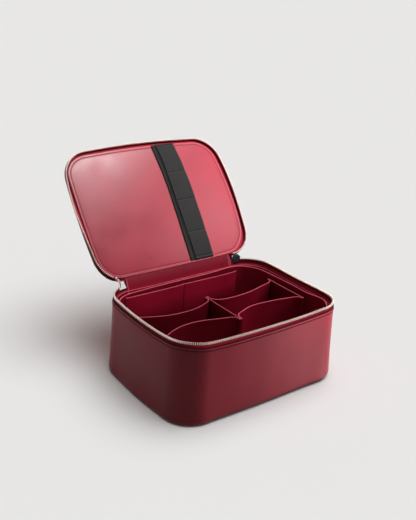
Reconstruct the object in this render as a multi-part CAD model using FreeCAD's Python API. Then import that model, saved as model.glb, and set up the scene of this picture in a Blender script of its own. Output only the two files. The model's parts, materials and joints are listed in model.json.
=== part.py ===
import FreeCAD, Part
import os
import math

os.makedirs("parts", exist_ok=True)
V = FreeCAD.Vector

# ---------------------------------------------------------------- dimensions
# All in millimetres.  Origin: middle of the tub's footprint, on the surface
# it stands on.  +X to the right along the front, +Y to the hinge, +Z up.
HALF_W = 122.5        # half width of the tub at the middle of its sides
FRONT_Y = 90.2        # the front face at its middle is at y = -FRONT_Y
BACK_Y = 88.3         # the straight back face, which carries the hinge
SIDE_BOW = 2.5        # sides and front swell by this much at the middle
SIDE_HALF = 50.0      # half length of the bowed part of a side
FRONT_HALF = 82.3     # half length of the bowed part of the front
CORNER_R = 37.0       # plan radius of the outer corners

Z_EDGE = 96.0         # top edge of the tub's outer leather
BOTTOM_R = 6.7        # rounding of the bottom edge
LEATHER = 1.4         # outer leather
BASE_FLANGE = 13.0    # the leather turns in under the base by this much
BOARD_IN = 3.5        # inner face of the stiffening board, from the outside
LINING_IN = 4.5       # inner face of the wall lining
Z_BOARD = 93.0
Z_LINING = 92.0
Z_FLOOR = 4.6         # top of the base lining

# zip: tape 0.6 thick, sewn in behind the leather, a row of teeth on its edge
TAPE_OUT, TAPE_IN = 1.5, 2.1
TEETH_OUT, TEETH_IN = 0.8, 2.8
TUB_TEETH = (99.4, 102.4)
TUB_TAPE = (84.0, 99.4)
ZIP_RIGHT_X = 80.5    # where the zip begins at the back, right
ZIP_LEFT_X = -96.5    # where it ends at the back, left

# soft organiser inside the tub
ORG_OUT, ORG_IN = 7.0, 8.6
Z_ORG = 89.5
Z_POCKET = 86.0
Z_DIVIDER = 84.0
DIV_T = 1.6

# lid, drawn shut and then swung open about the hinge line
LID_TEETH = (104.0, 107.0)
LID_TAPE = (107.0, 110.6)
LID_EDGE = 109.6      # lower edge of the lid's leather
LID_TOP = 117.2
LID_R = 7.0
LID_PANEL_Z = (108.4, 109.6)
LID_PANEL_IN = 5.5
HINGE_Y, HINGE_Z = 88.0, 106.6
LID_OPEN = 129.7      # degrees from shut to the resting open position

# leather hinge strip between the tub and the lid
STRIP_HALF = 78.5
STRIP_Y, STRIP_Z = 87.4, 96.4
STRIP_LEN = 11.9
STRIP_LEAN = 21.9     # degrees back from upright when the lid is open

# slim elastic band across the lid lining
BAND_X = (17.3, 54.5)
ELASTIC_X = (25.5, 54.9)

# slider parked at the right end of the zip
SLIDER_SPAN = 18.0    # degrees of the corner arc that the slider covers
SLIDER_MID = 9.6      # degrees from the start of the corner to its middle
SLIDER_Z = (96.5, 103.7)


# ---------------------------------------------------------------- plan outline
RS = (SIDE_HALF ** 2 + SIDE_BOW ** 2) / (2 * SIDE_BOW)
RF = (FRONT_HALF ** 2 + SIDE_BOW ** 2) / (2 * SIDE_BOW)
CS = (HALF_W - RS, 0.0)              # centre of the right side's arc
CF = (0.0, -FRONT_Y + RF)            # centre of the front's arc


def meet(c0, r0, c1, r1, pick):
    """Meeting point of two circles, the one for which pick is largest."""
    dx, dy = c1[0] - c0[0], c1[1] - c0[1]
    d = math.hypot(dx, dy)
    a = (r0 * r0 - r1 * r1 + d * d) / (2 * d)
    h = math.sqrt(max(r0 * r0 - a * a, 0.0))
    mx, my = c0[0] + a * dx / d, c0[1] + a * dy / d
    pts = [(mx - h * dy / d, my + h * dx / d), (mx + h * dy / d, my - h * dx / d)]
    return max(pts, key=pick)


FC = meet(CS, RS - CORNER_R, CF, RF - CORNER_R, lambda p: p[0] - p[1])
BC_Y = BACK_Y - CORNER_R
BC = (CS[0] + math.sqrt((RS - CORNER_R) ** 2 - BC_Y ** 2), BC_Y)


def unit(a, b):
    d = math.hypot(b[0] - a[0], b[1] - a[1])
    return ((b[0] - a[0]) / d, (b[1] - a[1]) / d)


def outline(off, z=0.0):
    """Closed plan outline, moved in by off, as a face at height z."""
    r = CORNER_R - off
    rs, rf = RS - off, RF - off
    # right half, from the middle of the front to the middle of the back
    uf = unit(CF, FC)
    us = unit(CS, FC)
    ub = unit(CS, BC)
    f0 = (CF[0], CF[1] - rf)
    f1 = (CF[0] + rf * uf[0], CF[1] + rf * uf[1])
    s0 = (CS[0] + rs * us[0], CS[1] + rs * us[1])
    sm = (CS[0] + rs, 0.0)
    s1 = (CS[0] + rs * ub[0], CS[1] + rs * ub[1])
    b0 = (BC[0], BACK_Y - off)
    am = unit((0, 0), (uf[0] + us[0], uf[1] + us[1]))
    fm = (FC[0] + r * am[0], FC[1] + r * am[1])
    bm2 = unit((0, 0), (ub[0] + 0.0, ub[1] + 1.0))
    bm = (BC[0] + r * bm2[0], BC[1] + r * bm2[1])

    def p(q, sx=1):
        return V(sx * q[0], q[1], z)
    e = [Part.Arc(p(f1, -1), p(f0), p(f1)).toShape(),
         Part.Arc(p(f1), p(fm), p(s0)).toShape(),
         Part.Arc(p(s0), p(sm), p(s1)).toShape(),
         Part.Arc(p(s1), p(bm), p(b0)).toShape(),
         Part.LineSegment(p(b0), p(b0, -1)).toShape(),
         Part.Arc(p(b0, -1), p(bm, -1), p(s1, -1)).toShape(),
         Part.Arc(p(s1, -1), p(sm, -1), p(s0, -1)).toShape(),
         Part.Arc(p(s0, -1), p(fm, -1), p(f1, -1)).toShape()]
    return Part.Face(Part.Wire(e))


def prism(off, z0, z1):
    return outline(off, z0).extrude(V(0, 0, z1 - z0))


def ring(out, inn, z0, z1):
    return prism(out, z0, z1).cut(prism(inn, z0 - 1, z1 + 1))


def box(x0, x1, y0, y1, z0, z1):
    return Part.makeBox(x1 - x0, y1 - y0, z1 - z0, V(x0, y0, z0))


def fillet_at(shape, z, r):
    """Round every edge that lies wholly at height z."""
    es = [e for e in shape.Edges
          if abs(e.BoundBox.ZMin - z) < 1e-6 and abs(e.BoundBox.ZMax - z) < 1e-6]
    return shape.makeFillet(r, es)


def slab(points, z0, z1):
    w = Part.makePolygon([V(x, y, z0) for x, y in points + points[:1]])
    return Part.Face(w).extrude(V(0, 0, z1 - z0))


def ribbon(pts, t, z0, z1):
    """A leather strip standing on edge along a smooth line through pts."""
    c = Part.BSplineCurve()
    c.interpolate([V(x, y, 0) for x, y in pts])
    n = 26
    left, right = [], []
    u0, u1 = c.FirstParameter, c.LastParameter
    for i in range(n + 1):
        u = u0 + (u1 - u0) * i / n
        q = c.value(u)
        d = c.tangent(u)[0]
        nx, ny = -d.y, d.x
        left.append(V(q.x + nx * t / 2, q.y + ny * t / 2, z0))
        right.append(V(q.x - nx * t / 2, q.y - ny * t / 2, z0))
    a = Part.BSplineCurve()
    a.interpolate(left)
    b = Part.BSplineCurve()
    b.interpolate(right)
    w = Part.Wire([a.toShape(), Part.LineSegment(left[-1], right[-1]).toShape(),
                   b.toShape(), Part.LineSegment(right[0], left[0]).toShape()])
    return Part.Face(w).extrude(V(0, 0, z1 - z0))


def export(shape, name):
    if shape.ShapeType == "Compound" and len(shape.Solids) == 1:
        shape = shape.Solids[0]
    if not shape.isValid() or len(shape.Solids) < 1:
        raise RuntimeError("bad solid: " + name)
    shape.exportStep("parts/%s.step" % name)
    bb = shape.BoundBox
    print("%-24s solids %d vol %9.1f  x %7.1f %7.1f  y %7.1f %7.1f  z %7.1f %7.1f" % (
        name, len(shape.Solids), shape.Volume, bb.XMin, bb.XMax, bb.YMin, bb.YMax,
        bb.ZMin, bb.ZMax))


def opened(shape):
    """Swing a lid piece from shut to its resting open place."""
    s = shape.copy()
    s.rotate(V(0, HINGE_Y, HINGE_Z), V(1, 0, 0), -LID_OPEN)
    return s


def leaned(shape):
    s = shape.copy()
    s.rotate(V(0, STRIP_Y, STRIP_Z), V(1, 0, 0), -STRIP_LEAN)
    return s


# ---------------------------------------------------------------- the tub
outer = fillet_at(prism(0, 0, Z_EDGE), 0, BOTTOM_R)
inner = fillet_at(prism(LEATHER, LEATHER, Z_EDGE + 5), LEATHER, BOTTOM_R - LEATHER)
band = outer.cut(inner).cut(prism(BASE_FLANGE, -1, LEATHER + 1))
export(band, "tub_outer_leather")

export(prism(BASE_FLANGE + 0.1, 0, LEATHER), "tub_base_leather")

wall_board = ring(LEATHER, BOARD_IN, BOTTOM_R + 0.1, TUB_TAPE[0] - 0.2).fuse(
    ring(TAPE_IN, BOARD_IN, TUB_TAPE[0] - 0.2, Z_BOARD)).removeSplitter()
export(wall_board, "tub_wall_board")

export(prism(BOTTOM_R + 0.2, LEATHER, 3.6), "tub_base_board")
export(ring(BOARD_IN, LINING_IN, BOTTOM_R + 0.1, Z_LINING), "tub_wall_lining")
export(prism(LINING_IN, 3.6, Z_FLOOR), "tub_base_lining")

# the zip stops short of the leather hinge, so its rings are cut at the back
ZIP_GAP = box(ZIP_LEFT_X, ZIP_RIGHT_X, 40, 130, 60, 140)
export(ring(TAPE_OUT, TAPE_IN, TUB_TAPE[0], TUB_TAPE[1]).cut(ZIP_GAP), "tub_zip_tape")
export(ring(TEETH_OUT, TEETH_IN, TUB_TEETH[0], TUB_TEETH[1]).cut(ZIP_GAP), "tub_zip_teeth")

# small clamp that closes the left end of the row of teeth
left_end = box(ZIP_LEFT_X, ZIP_LEFT_X + 3.0, 40, 130, 60, 140)
export(ring(TEETH_OUT - 0.3, TEETH_IN + 0.3, TUB_TEETH[0] - 0.4, TUB_TEETH[1] + 0.3)
       .common(left_end), "tub_zip_stop")

# ---------------------------------------------------------------- organiser
export(ring(ORG_OUT, ORG_IN, Z_FLOOR, Z_ORG), "organiser_wall")

# flat pocket on the back wall of the organiser, sewn down the middle: two
# pockets between the panel and the wall, held off it by its three seams
pocket_y1 = BACK_Y - ORG_IN
panel = box(-88, 82, pocket_y1 - 3.0, pocket_y1 - 1.6, Z_FLOOR, Z_POCKET)
for x in (-88.0, -4.8, 80.4):
    panel = panel.fuse(box(x, x + 1.6, pocket_y1 - 2.0, pocket_y1, Z_FLOOR, Z_POCKET))
panel = panel.common(prism(ORG_IN + 0.08, Z_FLOOR - 1, Z_ORG))
export(panel.removeSplitter(), "back_pocket")

# dividers: four bowed leather strips whose ends turn out into tabs, sewn
# against three straight cross strips
CROSS_X = (-106.0, 1.2, 106.0)
TAB = DIV_T / 2 + DIV_T / 2 + 0.15
XL, XM, XR = CROSS_X
back_left = [(XL + TAB, 38.5), (XL + TAB + 0.2, 34.0), (XL + TAB + 4.0, 30.2),
             (-90.0, 25.4), (-72.9, 19.4), (-47.0, 16.3), (-24.0, 18.4), (-9.5, 23.4),
             (XM - TAB - 2.2, 27.4), (XM - TAB - 0.1, 32.0), (XM - TAB, 37.0)]
back_right = [(XM + TAB, 37.0), (XM + TAB + 0.1, 30.6), (XM + TAB + 3.2, 25.6),
              (12.0, 22.2), (25.0, 20.1), (50.0, 21.0), (72.0, 24.6), (88.0, 28.4),
              (XR - TAB - 3.6, 33.0), (XR - TAB - 0.3, 36.6), (XR - TAB, 41.0)]
front_left = [(XL + TAB, -34.0), (XL + TAB + 0.2, -29.0), (XL + TAB + 4.0, -24.6),
              (-84.0, -16.0), (-60.0, -11.6), (-33.0, -15.2), (-12.0, -21.0),
              (XM - TAB - 2.6, -24.6), (XM - TAB - 0.1, -28.6), (XM - TAB, -33.0)]
front_right = [(XM + TAB, -33.0), (XM + TAB + 0.1, -27.0), (XM + TAB + 3.0, -21.4),
               (13.6, -17.6), (29.7, -12.2), (51.7, -11.6), (74.4, -14.0), (93.0, -18.0),
               (XR - TAB - 2.6, -22.4), (XR - TAB - 0.1, -26.2), (XR - TAB, -30.5)]
SEAMS = [box(x - DIV_T / 2 - 0.05, x + DIV_T / 2 + 0.05, -60, 60, 0, 100) for x in CROSS_X]


def divider(pts):
    s = ribbon(pts, DIV_T, Z_FLOOR, Z_DIVIDER)
    for seam in SEAMS:
        s = s.cut(seam)
    return max(s.Solids, key=lambda q: q.Volume)


export(divider(back_left), "divider_back_left")
export(divider(back_right), "divider_back_right")
export(divider(front_left), "divider_front_left")
export(divider(front_right), "divider_front_right")
for name, x, y0, y1 in (("cross_strip_left", XL, -34.0, 38.5),
                        ("cross_strip_centre", XM, -33.0, 37.0),
                        ("cross_strip_right", XR, -30.5, 41.0)):
    export(box(x - DIV_T / 2, x + DIV_T / 2, y0, y1, Z_FLOOR, Z_DIVIDER), name)

# ---------------------------------------------------------------- hinge strip
sx = STRIP_HALF
export(leaned(box(-sx, sx, STRIP_Y, STRIP_Y + 1.0, STRIP_Z, STRIP_Z + STRIP_LEN)),
       "hinge_strip_leather")
export(leaned(box(-sx, sx, STRIP_Y - 0.9, STRIP_Y, STRIP_Z, STRIP_Z + STRIP_LEN)),
       "hinge_strip_lining")

# ---------------------------------------------------------------- the lid
lid_out = fillet_at(prism(0, LID_EDGE, LID_TOP), LID_TOP, LID_R)
lid_in = fillet_at(prism(LEATHER, LID_EDGE - 5, LID_TOP - LEATHER), LID_TOP - LEATHER,
                   LID_R - LEATHER)
# over the hinge the leather edge is cut higher, where the strip joins it
hinge_cut = box(-82.0, 82.0, 70, 130, 100, 112.6)
export(opened(lid_out.cut(lid_in).cut(hinge_cut)), "lid_outer_leather")

export(opened(prism(LID_R + 0.2, 113.6, LID_TOP - LEATHER)), "lid_board")
export(opened(prism(6.4, LID_PANEL_Z[1], 113.6)), "lid_padding")
export(opened(prism(LID_PANEL_IN, LID_PANEL_Z[0], LID_PANEL_Z[1])), "lid_lining_panel")

export(opened(ring(TAPE_OUT, TAPE_IN, LID_TAPE[0], LID_TAPE[1]).cut(ZIP_GAP)),
       "lid_zip_tape")
export(opened(ring(TEETH_OUT, TEETH_IN, LID_TEETH[0], LID_TEETH[1]).cut(ZIP_GAP)),
       "lid_zip_teeth")
export(opened(ring(TEETH_OUT - 0.3, TEETH_IN + 0.3, LID_TEETH[0] - 0.2, LID_TEETH[1] + 0.4)
              .common(left_end)), "lid_zip_stop")

# webbing across the lining from front edge to hinge edge, and the elastic
# sewn on it in four loops
band_y0, band_y1 = -84.0, 82.4
export(opened(box(BAND_X[0], BAND_X[1], band_y0, band_y1, 107.5, 108.4)),
       "band_backing")
export(opened(box(ELASTIC_X[0], ELASTIC_X[1], band_y0 + 0.4, band_y1 - 0.4, 106.1, 107.5)),
       "band_elastic")

# ---------------------------------------------------------------- zip slider
# a saddle over the tub's row of teeth, bent to the corner that it runs round
def sector(r0, r1, z0, z1, a0, a1):
    """Ring sector about the back right corner; angles from the +Y side."""
    ang = a1 - a0
    outer_c = Part.makeCylinder(r1, z1 - z0, V(BC[0], BC[1], z0), V(0, 0, 1), ang)
    inner_c = Part.makeCylinder(r0, z1 - z0 + 2, V(BC[0], BC[1], z0 - 1), V(0, 0, 1), 360)
    s = outer_c.cut(inner_c)
    s.rotate(V(BC[0], BC[1], 0), V(0, 0, 1), 90 - a1)
    return s


s0, s1 = SLIDER_MID - SLIDER_SPAN / 2, SLIDER_MID + SLIDER_SPAN / 2
R = CORNER_R
clear = 0.3
slider = sector(R - TEETH_IN - clear - 1.0, R - TEETH_OUT + clear + 0.9,
                SLIDER_Z[0], SLIDER_Z[1], s0, s1)
slider = slider.cut(sector(R - TEETH_IN - clear, R - TEETH_OUT + clear,
                           SLIDER_Z[0] - 1, TUB_TEETH[1] + clear, s0 - 5, s1 + 5))
# loop on the outer face, with a cross hole for the pull's wire
ux, uy = math.sin(math.radians(SLIDER_MID)), math.cos(math.radians(SLIDER_MID))
r_face = R - TEETH_OUT + clear + 0.9


def at_slider(shape):
    """Place a piece drawn at x = 0, with y = 0 on the slider's outer face."""
    s = shape.copy()
    s.rotate(V(0, 0, 0), V(0, 0, 1), -SLIDER_MID)
    s.translate(V(BC[0] + r_face * ux, BC[1] + r_face * uy, 0))
    return s


PIN_Y, PIN_Z = 1.75, 98.6
loop = box(-1.5, 1.5, -0.4, 3.3, 96.9, 100.3)
hole = Part.makeCylinder(0.95, 10, V(-5, PIN_Y, PIN_Z), V(1, 0, 0))
slider = slider.fuse(at_slider(loop)).cut(at_slider(hole)).removeSplitter()
export(slider, "zip_slider")

# wire link through the loop: a closed rectangle of round wire
WIRE = 0.9
def rod(p, q, r):
    d = q.sub(p)
    return Part.makeCylinder(r, d.Length, p, d)


HX, LZ = 3.4, 8.6
link = rod(V(-HX, PIN_Y, PIN_Z), V(HX, PIN_Y, PIN_Z), WIRE)
link = link.fuse(rod(V(-HX, PIN_Y, PIN_Z), V(-HX, PIN_Y, PIN_Z - LZ), WIRE))
link = link.fuse(rod(V(HX, PIN_Y, PIN_Z), V(HX, PIN_Y, PIN_Z - LZ), WIRE))
link = link.fuse(rod(V(-HX, PIN_Y, PIN_Z - LZ), V(HX, PIN_Y, PIN_Z - LZ), WIRE))
for x in (-HX, HX):
    for z in (PIN_Z, PIN_Z - LZ):
        link = link.fuse(Part.makeSphere(WIRE, V(x, PIN_Y, z)))
export(at_slider(link), "zip_pull_link")

# leather tab folded round the lower bar of the link
tab_top = PIN_Z - LZ
tab = box(-2.3, 2.3, PIN_Y - 1.5, PIN_Y + 1.5, tab_top - 3.0, tab_top + 1.4)
tab = tab.fuse(box(-4.6, 4.6, PIN_Y - 1.5, PIN_Y + 1.5, tab_top - 34.0, tab_top - 2.6))
tab = tab.cut(Part.makeCylinder(WIRE + 0.08, 20, V(-10, PIN_Y, tab_top), V(1, 0, 0)))
export(at_slider(tab.removeSplitter()), "zip_pull_tab")
print("slider corner centre", BC, "pin", at_slider(Part.Vertex(0, PIN_Y, PIN_Z)).Point)
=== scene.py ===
import bpy
import bmesh
import json
import math
import numpy as np
from mathutils import Vector, Matrix

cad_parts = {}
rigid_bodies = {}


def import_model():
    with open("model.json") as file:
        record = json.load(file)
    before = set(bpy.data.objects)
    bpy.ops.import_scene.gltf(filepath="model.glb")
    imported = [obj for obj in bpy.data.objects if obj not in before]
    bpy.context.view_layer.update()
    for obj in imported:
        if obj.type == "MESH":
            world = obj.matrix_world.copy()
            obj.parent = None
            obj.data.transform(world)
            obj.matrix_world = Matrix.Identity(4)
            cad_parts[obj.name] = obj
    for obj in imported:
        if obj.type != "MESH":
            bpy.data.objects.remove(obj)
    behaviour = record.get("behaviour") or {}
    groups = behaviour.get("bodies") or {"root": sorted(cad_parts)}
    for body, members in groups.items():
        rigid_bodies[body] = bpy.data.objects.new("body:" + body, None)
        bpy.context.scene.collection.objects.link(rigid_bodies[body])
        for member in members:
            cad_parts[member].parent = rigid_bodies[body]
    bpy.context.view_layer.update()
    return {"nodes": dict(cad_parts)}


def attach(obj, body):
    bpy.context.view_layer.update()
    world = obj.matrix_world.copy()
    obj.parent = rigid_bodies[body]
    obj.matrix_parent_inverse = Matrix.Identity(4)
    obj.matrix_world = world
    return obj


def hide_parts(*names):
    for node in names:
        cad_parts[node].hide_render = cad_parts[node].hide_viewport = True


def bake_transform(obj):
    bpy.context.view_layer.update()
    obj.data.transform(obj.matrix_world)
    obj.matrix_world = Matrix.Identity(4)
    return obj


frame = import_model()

MM = 0.001
sin, cos, pi = math.sin, math.cos, math.pi

# ------------------------------------------------------------------ plan outline
# Same line as the solid frame, in millimetres.  It starts at the middle of the
# back and runs clockwise: right corner, right side, front, left side.
HALF_W, FRONT_Y, BACK_Y = 122.5, 90.2, 88.3
SIDE_BOW, SIDE_HALF, FRONT_HALF, CORNER_R = 2.5, 50.0, 82.3, 37.0
RS = (SIDE_HALF ** 2 + SIDE_BOW ** 2) / (2 * SIDE_BOW)
RF = (FRONT_HALF ** 2 + SIDE_BOW ** 2) / (2 * SIDE_BOW)
CS = (HALF_W - RS, 0.0)
CF = (0.0, -FRONT_Y + RF)


def meet(c0, r0, c1, r1):
    dx, dy = c1[0] - c0[0], c1[1] - c0[1]
    d = math.hypot(dx, dy)
    a = (r0 * r0 - r1 * r1 + d * d) / (2 * d)
    h = math.sqrt(max(r0 * r0 - a * a, 0.0))
    mx, my = c0[0] + a * dx / d, c0[1] + a * dy / d
    pts = [(mx - h * dy / d, my + h * dx / d), (mx + h * dy / d, my - h * dx / d)]
    return max(pts, key=lambda p: p[0] - p[1])


FC = meet(CS, RS - CORNER_R, CF, RF - CORNER_R)
BC = (CS[0] + math.sqrt((RS - CORNER_R) ** 2 - (BACK_Y - CORNER_R) ** 2), BACK_Y - CORNER_R)
A_B = math.atan2(BC[1] - CS[1], BC[0] - CS[0])
A_F = math.atan2(FC[1] - CS[1], FC[0] - CS[0])
A_FF = math.atan2(FC[1] - CF[1], FC[0] - CF[0])
SEGS = [("L", (0.0, BACK_Y), BC[0]),
        ("A", BC, CORNER_R, pi / 2, A_B),
        ("A", CS, RS, A_B, A_F),
        ("A", FC, CORNER_R, A_F, A_FF),
        ("A", CF, RF, A_FF, -pi - A_FF),
        ("A", (-FC[0], FC[1]), CORNER_R, -pi - A_FF, -pi - A_F),
        ("A", (-CS[0], 0.0), RS, -pi - A_F, -pi - A_B),
        ("A", (-BC[0], BC[1]), CORNER_R, -pi - A_B, -1.5 * pi),
        ("L", (-BC[0], BACK_Y), BC[0])]
LENS = [g[2] if g[0] == "L" else g[2] * (g[3] - g[4]) for g in SEGS]
STARTS = [sum(LENS[:i]) for i in range(len(LENS) + 1)]
TOTAL = STARTS[-1]


def at(s):
    """Point and outward normal of the outline at length s."""
    s = s % TOTAL
    for g, a, ln in zip(SEGS, STARTS, LENS):
        if s <= a + ln + 1e-9:
            u = s - a
            if g[0] == "L":
                return (g[1][0] + u, g[1][1]), (0.0, 1.0)
            ang = g[3] - u / g[2]
            return (g[1][0] + g[2] * cos(ang), g[1][1] + g[2] * sin(ang)), (cos(ang), sin(ang))
    return (0.0, BACK_Y), (0.0, 1.0)


def line(ss):
    pn = [at(s) for s in ss]
    return np.array([p for p, n in pn]), np.array([n for p, n in pn])


COUNTS = [30, 26, 22, 26, 34, 26, 22, 26, 30]
S_ALL = np.concatenate([a + ln * np.arange(k) / k for a, ln, k in zip(STARTS, LENS, COUNTS)])
P_ALL, N_ALL = line(S_ALL)
U_ALL = np.append(S_ALL, TOTAL)
CORNER_MID = [STARTS[k] + LENS[k] / 2 for k in (1, 3, 5, 7)]


def near_corner(ss, width=40.0, which=None):
    out = np.zeros(len(ss))
    for k, c in enumerate(CORNER_MID):
        if which is None or k in which:
            d = np.abs((ss - c + TOTAL / 2) % TOTAL - TOTAL / 2)
            out = np.maximum(out, np.exp(-(d / width) ** 2))
    return out


def bump_at(ss, centre, width):
    d = np.abs((ss - centre + TOTAL / 2) % TOTAL - TOTAL / 2)
    return np.exp(-(d / width) ** 2)


def wob(ss, seed, wave=120.0):
    """Slow, repeatable unevenness along a line, about -1 to 1."""
    out = np.zeros(len(ss))
    for k in range(1, 5):
        ph = (seed * 12.9898 + k * 78.233) % (2 * pi)
        out += np.sin(2 * pi * np.asarray(ss) * round(TOTAL / wave * k) / TOTAL + ph) / k
    return out / 2.0


S_RIGHT = STARTS[2] + LENS[2] / 2
S_FRONT = STARTS[4] + LENS[4] / 2
S_LEFT = STARTS[6] + LENS[6] / 2

# zip ends on the outline
S_ZIP0 = 80.5
lo_s, hi_s = STARTS[7], STARTS[8]
for _ in range(40):
    mid = (lo_s + hi_s) / 2
    (px, py), (nx, ny) = at(mid)
    if px - 1.8 * nx < -96.5:
        lo_s = mid
    else:
        hi_s = mid
S_ZIP1 = lo_s

# lid: drawn shut, then swung open about the hinge line
HINGE_Y, HINGE_Z, LID_OPEN = 88.0, 106.6, math.radians(129.7)
LC, LS = cos(LID_OPEN), sin(LID_OPEN)


def opened(v):
    v = np.asarray(v, float)
    dy, dz = v[..., 1] - HINGE_Y, v[..., 2] - HINGE_Z
    out = v.copy()
    out[..., 1] = HINGE_Y + LC * dy + LS * dz
    out[..., 2] = HINGE_Z - LS * dy + LC * dz
    return out


# ------------------------------------------------------------------ mesh making
class Acc:
    """Collects grids and loose faces into one mesh."""

    def __init__(self):
        self.v, self.f, self.uv, self.m, self.n, self.w = [], [], [], [], 0, []

    def raw(self, v, f, uv=None, m=0, w=None):
        v = np.asarray(v, float).reshape(-1, 3)
        b = self.n
        self.v.append(v)
        self.n += len(v)
        self.w.append(np.zeros(len(v)) if w is None else np.asarray(w, float).reshape(-1))
        for k, q in enumerate(f):
            self.f.append(tuple(i + b for i in q))
            self.uv.append(uv[k] if uv is not None else [(v[i][0] * MM, v[i][1] * MM) for i in q])
            self.m.append(m[k] if hasattr(m, "__len__") else m)

    def grid(self, v, wu, wv, uu=None, vv=None, m=0, cap=False, fan_first=False,
             fan_last=False, w=None):
        """v is n by k points.  m is one material number, or one per column."""
        v = np.asarray(v, float)
        n, k = v.shape[:2]
        if uu is None:
            d = np.linalg.norm(np.diff(v[:, 0], axis=0), axis=1)
            uu = np.append(0, np.cumsum(d))
            if wu:
                uu = np.append(uu, uu[-1] + np.linalg.norm(v[0, 0] - v[-1, 0]))
        if vv is None:
            d = np.linalg.norm(np.diff(v[0], axis=0), axis=1)
            vv = np.append(0, np.cumsum(d))
            if wv:
                vv = np.append(vv, vv[-1] + np.linalg.norm(v[0, 0] - v[0, -1]))
        uu, vv = np.asarray(uu) * MM, np.asarray(vv) * MM
        f, uv, mm = [], [], []
        for i in range(n if wu else n - 1):
            i2 = (i + 1) % n
            for j in range(k if wv else k - 1):
                j2 = (j + 1) % k
                f.append((i * k + j, i2 * k + j, i2 * k + j2, i * k + j2))
                uv.append(((uu[i], vv[j]), (uu[i + 1], vv[j]),
                           (uu[i + 1], vv[j + 1]), (uu[i], vv[j + 1])))
                mm.append(m[j] if hasattr(m, "__len__") else m)
        pts = v.reshape(-1, 3)
        ww = np.zeros(len(pts)) if w is None else np.broadcast_to(w, (n, k)).reshape(-1)
        m0 = m[0] if hasattr(m, "__len__") else m
        m1 = m[-1] if hasattr(m, "__len__") else m
        if cap:
            f.append(tuple(range(k)))
            uv.append([(0, 0)] * k)
            mm.append(m0)
            f.append(tuple((n - 1) * k + j for j in range(k)))
            uv.append([(0, 0)] * k)
            mm.append(m0)
        for on, col, mk in ((fan_first, 0, m0), (fan_last, k - 1, m1)):
            if on:
                pts = np.vstack([pts, v[:, col].mean(0)])
                ww = np.append(ww, 0.0)
                c = len(pts) - 1
                for i in range(n if wu else n - 1):
                    f.append((i * k + col, ((i + 1) % n) * k + col, c))
                    uv.append([(pts[q][0] * MM, pts[q][1] * MM) for q in f[-1]])
                    mm.append(mk)
        self.raw(pts, f, uv, mm, ww)

    def build(self, name, mats, body=None, rep=(), fn=None, sharp=50.0):
        v = np.vstack(self.v)
        if fn is not None:
            v = fn(v)
        me = bpy.data.meshes.new(name)
        me.from_pydata((v * MM).tolist(), [], self.f)
        for q in mats:
            me.materials.append(q)
        me.polygons.foreach_set("material_index", np.array(self.m, np.int32))
        layer = me.uv_layers.new(name="UVMap")
        layer.data.foreach_set("uv", np.array([c for q in self.uv for c in q], np.float32).reshape(-1))
        wear_and_sheen = me.attributes.new("wear_and_sheen", "FLOAT", "POINT")
        wear_and_sheen.data.foreach_set("value", np.concatenate(self.w).astype(np.float32))
        bm = bmesh.new()
        bm.from_mesh(me)
        bmesh.ops.recalc_face_normals(bm, faces=bm.faces)
        bm.to_mesh(me)
        bm.free()
        me.polygons.foreach_set("use_smooth", np.ones(len(me.polygons), bool))
        me.set_sharp_from_angle(angle=math.radians(sharp))
        ob = bpy.data.objects.new(name, me)
        bpy.context.scene.collection.objects.link(ob)
        if rep:
            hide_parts(*rep)
        if body:
            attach(ob, body)
        return ob


def ringed(off, z, p=None, n=None):
    """Points of a profile carried along the outline; off and z are n by k or k."""
    p = P_ALL if p is None else p
    n = N_ALL if n is None else n
    off = np.broadcast_to(np.asarray(off, float), (len(p), np.shape(off)[-1]))
    z = np.broadcast_to(np.asarray(z, float), off.shape)
    out = np.zeros(off.shape + (3,))
    out[..., 0] = p[:, None, 0] - off * n[:, None, 0]
    out[..., 1] = p[:, None, 1] - off * n[:, None, 1]
    out[..., 2] = z
    return out


def prof_len(off, z, closed=True):
    q = np.stack([np.atleast_2d(off)[0], np.atleast_2d(z)[0]], 1)
    if closed:
        q = np.vstack([q, q[:1]])
    return np.append(0, np.cumsum(np.linalg.norm(np.diff(q, axis=0), axis=1)))


def stitch(acc, p, t, n, length=2.1, r=0.27, lift=0.05, m=0):
    """One sewn stitch: a short thread that dives into the leather at both ends."""
    p, t, n = np.asarray(p, float), np.asarray(t, float), np.asarray(n, float)
    b = np.cross(t, n)
    rows = []
    for u, rr, h in ((-0.5, 0.35, -0.2), (-0.4, 0.8, 0.0), (-0.15, 1.0, 0.09), (0.15, 1.0, 0.09),
                     (0.4, 0.8, 0.0), (0.5, 0.35, -0.2)):
        c = p + t * (u * length) + n * (lift + h)
        rows.append([c + r * rr * (cos(a) * n * 0.8 + sin(a) * b) for a in np.arange(6) * pi / 3])
    acc.grid(np.array(rows), False, True, m=m, cap=True)


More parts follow.
